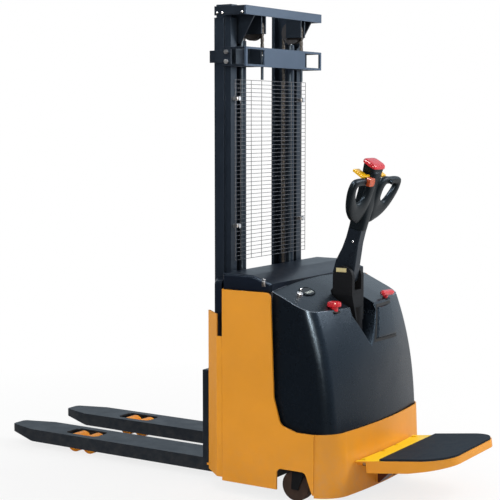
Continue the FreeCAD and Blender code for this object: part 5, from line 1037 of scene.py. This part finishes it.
def hatch_grid(tree, border, lift):
    """Sheet over the hood between the hatch's corners, drawn in by a border and lifted with rolled edges."""
    low_left, low_right, high_left, high_right = [Vector(c) for c in HATCH_CORNERS]
    wide, tall = (low_right - low_left).length, (high_left - low_left).length
    skin, roll, steps = 0.0006, 0.010, 26
    shape = Mesh()
    for k in range(steps + 1):
        for i in range(steps + 1):
            u = border / wide + (1 - 2 * border / wide) * i / steps
            v = border / tall + (1 - 2 * border / tall) * k / steps
            y, z = low_left.lerp(low_right, u).lerp(high_left.lerp(high_right, u), v)
            near = min(min(i, steps - i) * wide / steps, min(k, steps - k) * tall / steps)
            rise = lift * math.sqrt(max(0.0, 1 - (1 - min(1.0, near / roll)) ** 2))
            shape.points.append(tuple(hood_point(tree, y, z, skin + rise)))
    count = steps + 1
    for k in range(steps):
        for i in range(steps):
            a = k * count + i
            shape.faces.append((a, a + 1, a + count + 1, a + count))
    return shape


def service_hatch():
    """Raised service panel beside the steering well, over a black sheet whose border shows round it as a dark joint
    and as painted shadow of the raised panel.
    """
    border, lift = 0.013, 0.0085
    mesh = NODES["rear_hood"].data
    tree = BVHTree.FromPolygons([v.co for v in mesh.vertices], [p.vertices for p in mesh.polygons])
    hatch_grid(tree, border, lift).made("service_hatch", "chassis", "hood_black", ("rear_hatch",))
    # Black sheet under the panel: its visible border is a dark joint and painted shadow.
    hatch_grid(tree, 0.0, 0.0).made("hatch_joint_and_painted_shadow", "chassis", "seal_black")


# ---- small fittings ----
def round_screw(mesh, place, out, radius, height):
    """Button-head screw with a socket in its top."""
    shares = ((1.0, 0.0), (0.96, 0.45), (0.72, 0.85), (0.45, 1.0), (0.42, 0.4), (0.05, 0.4))
    mesh.lathe([(radius * r, height * h) for r, h in shares], standing(Vector(place), Vector(out)), 24)


def weld(mesh, path, radius):
    """Weld bead: overlapping ripples along a seam."""
    ripple, sides = 0.0022, 8
    points, sizes = [], []
    for a, b in zip(path, path[1:]):
        a, b = Vector(a), Vector(b)
        count = max(2, int((b - a).length / ripple))
        for i in range(count):
            points.append(a.lerp(b, i / count))
            sizes.append(radius * (0.86 + 0.16 * math.cos(i * math.pi)))
    mesh.tube(points, sizes, sides)


def fork_welds():
    """Two beads across the back of each fork's shank, where it meets the carriage."""
    radius, proud, end, above_low, below_top = 0.0032, 0.001, 0.012, 0.09, 0.02
    for side in ("left", "right"):
        low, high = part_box("fork_" + side)
        x, y0, y1 = high.x + proud, low.y + end, high.y - end
        mesh = Mesh()
        for z in (low.z + above_low, high.z - below_top):
            weld(mesh, [(x, y0, z), (x, y1, z)], radius)
        mesh.made("fork_weld_" + side, "carriage", "fork_black")


def screws():
    """Screws of the lifting stage's top crossbar and of the tiller arm."""
    low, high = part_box("inner_mast_top_beam")
    seat, below_top = 0.0005, 0.028
    crossbar = Mesh()
    for side in (-1, 1):
        for x in (0.094, 0.119, 0.2165):
            place = (x, side * (abs(low.y) - seat), high.z - below_top)
            round_screw(crossbar, place, (0, side, 0), 0.0055, 0.0030)
    crossbar.made("crossbar_screws", "inner_mast", "roller_steel")
    low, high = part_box("tiller_arm")
    half = (high.y - low.y) / 2
    arm_seat, arm_p, arm_s = 0.0004, -0.004, 0.150
    arm = Mesh()
    for side in (-1, 1):
        round_screw(arm, leaned((arm_p, side * (half - arm_seat), arm_s)), (0, side, 0), 0.0048, 0.0024)
    arm.made("arm_screws", "tiller", "zinc")


def side_slab(mesh, side, ys, xs, zs, edge):
    """Chamfered block on one side of the part, from y, x and z spans measured on the +Y side."""
    low_y, high_y = sorted((side * ys[0], side * ys[1]))
    mesh.slab((xs[0], low_y, zs[0]), (xs[1], high_y, zs[1]), edge)


def lid_latches():
    """Draw latches that hold the battery lid to the hood: a base plate and a lever on it."""
    low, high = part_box("battery_cover")
    seat = high.y - 0.001
    mesh = Mesh()
    for side in (-1, 1):
        side_slab(mesh, side, (seat, high.y + 0.0035), (0.370, 0.386), (low.z + 0.020, low.z + 0.052), 0.0012)
        side_slab(mesh, side, (seat, high.y + 0.0055), (0.373, 0.383), (low.z + 0.026, low.z + 0.044), 0.0016)
    mesh.made("lid_latches", "chassis", "zinc")


PILLAR_NOTCH_Z = 0.648         # the mast shows above this height, beside the pillars


def pillar_edges():
    """Folded rear edge of each front pillar, cut back at the top, where the side panel butts on it."""
    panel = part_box("side_panel_left")[0]
    rear_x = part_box("mast_base_covers")[1].x
    out_y, sheet, above_panel = abs(panel.y), 0.003, 0.014
    xs, zs = (rear_x - 0.0095, panel.x - 0.0008), (panel.z + above_panel, PILLAR_NOTCH_Z)
    mesh = Mesh()
    for side in (-1, 1):
        side_slab(mesh, side, (out_y, out_y - sheet), xs, zs, 0.0004)
    mesh.made("pillar_edges", "chassis", "body_yellow")


def column_label():
    """Plain cream plate on each cheek of the tiller's column."""
    low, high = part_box("tiller_base")
    seat, proud = 0.0004, 0.0007
    x0, x1, z0, z1, edge = 0.546, 0.594, 0.905, 0.922, 0.0003
    mesh = Mesh()
    for face_y, side in ((low.y, -1), (high.y, 1)):
        y0, y1 = sorted((face_y - side * seat, face_y + side * proud))
        mesh.slab((x0, y0, z0), (x1, y1, z1), edge)
    mesh.made("column_plates", "drive_unit", "label_cream")


# ---- the dressed part ----
dress_nodes()
guard_wires()
lift_chains()
tiller_head()
edged("rear_hood", "hood_shell", "chassis", 0.0095, "hood_black", 4, 28.0)
edged("battery_cover", "battery_lid", "chassis", 0.004, "cover_grey")
stop_button()
main_handle()
gauge_panel()
key_barrel()
service_hatch()
fork_welds()
screws()
lid_latches()
column_label()
pillar_edges()
for hand in ("left", "right"):
    edged("fork_" + hand, "fork_blade_" + hand, "carriage", 0.0035, "fork_black", angle=28.0)
edged("mast_base_covers", "mast_covers", "chassis", 0.0025, "cover_grey")
camera()
world()
floor()
softbox("key", (3.6, 2.6, 3.4), (0.2, 0.0, 0.7), (2.6, 2.6), 184.0)
softbox("fill", (-1.8, -4.6, 2.4), (0.2, 0.0, 0.8), (3.0, 2.4), 75.0, mirrored=False)
softbox("edge", (0.05, -1.25, 3.85), (0.5, -0.3, 0.8), (2.2, 1.4), 260.0, lit=False)
softbox("strip", (4.4, -4.2, 3.2), (0.6, -0.3, 0.7), (0.3, 2.2), 640.0, lit=False, colour=(1.0, 0.86, 0.72))
bpy.context.scene.view_settings.view_transform = "Standard"
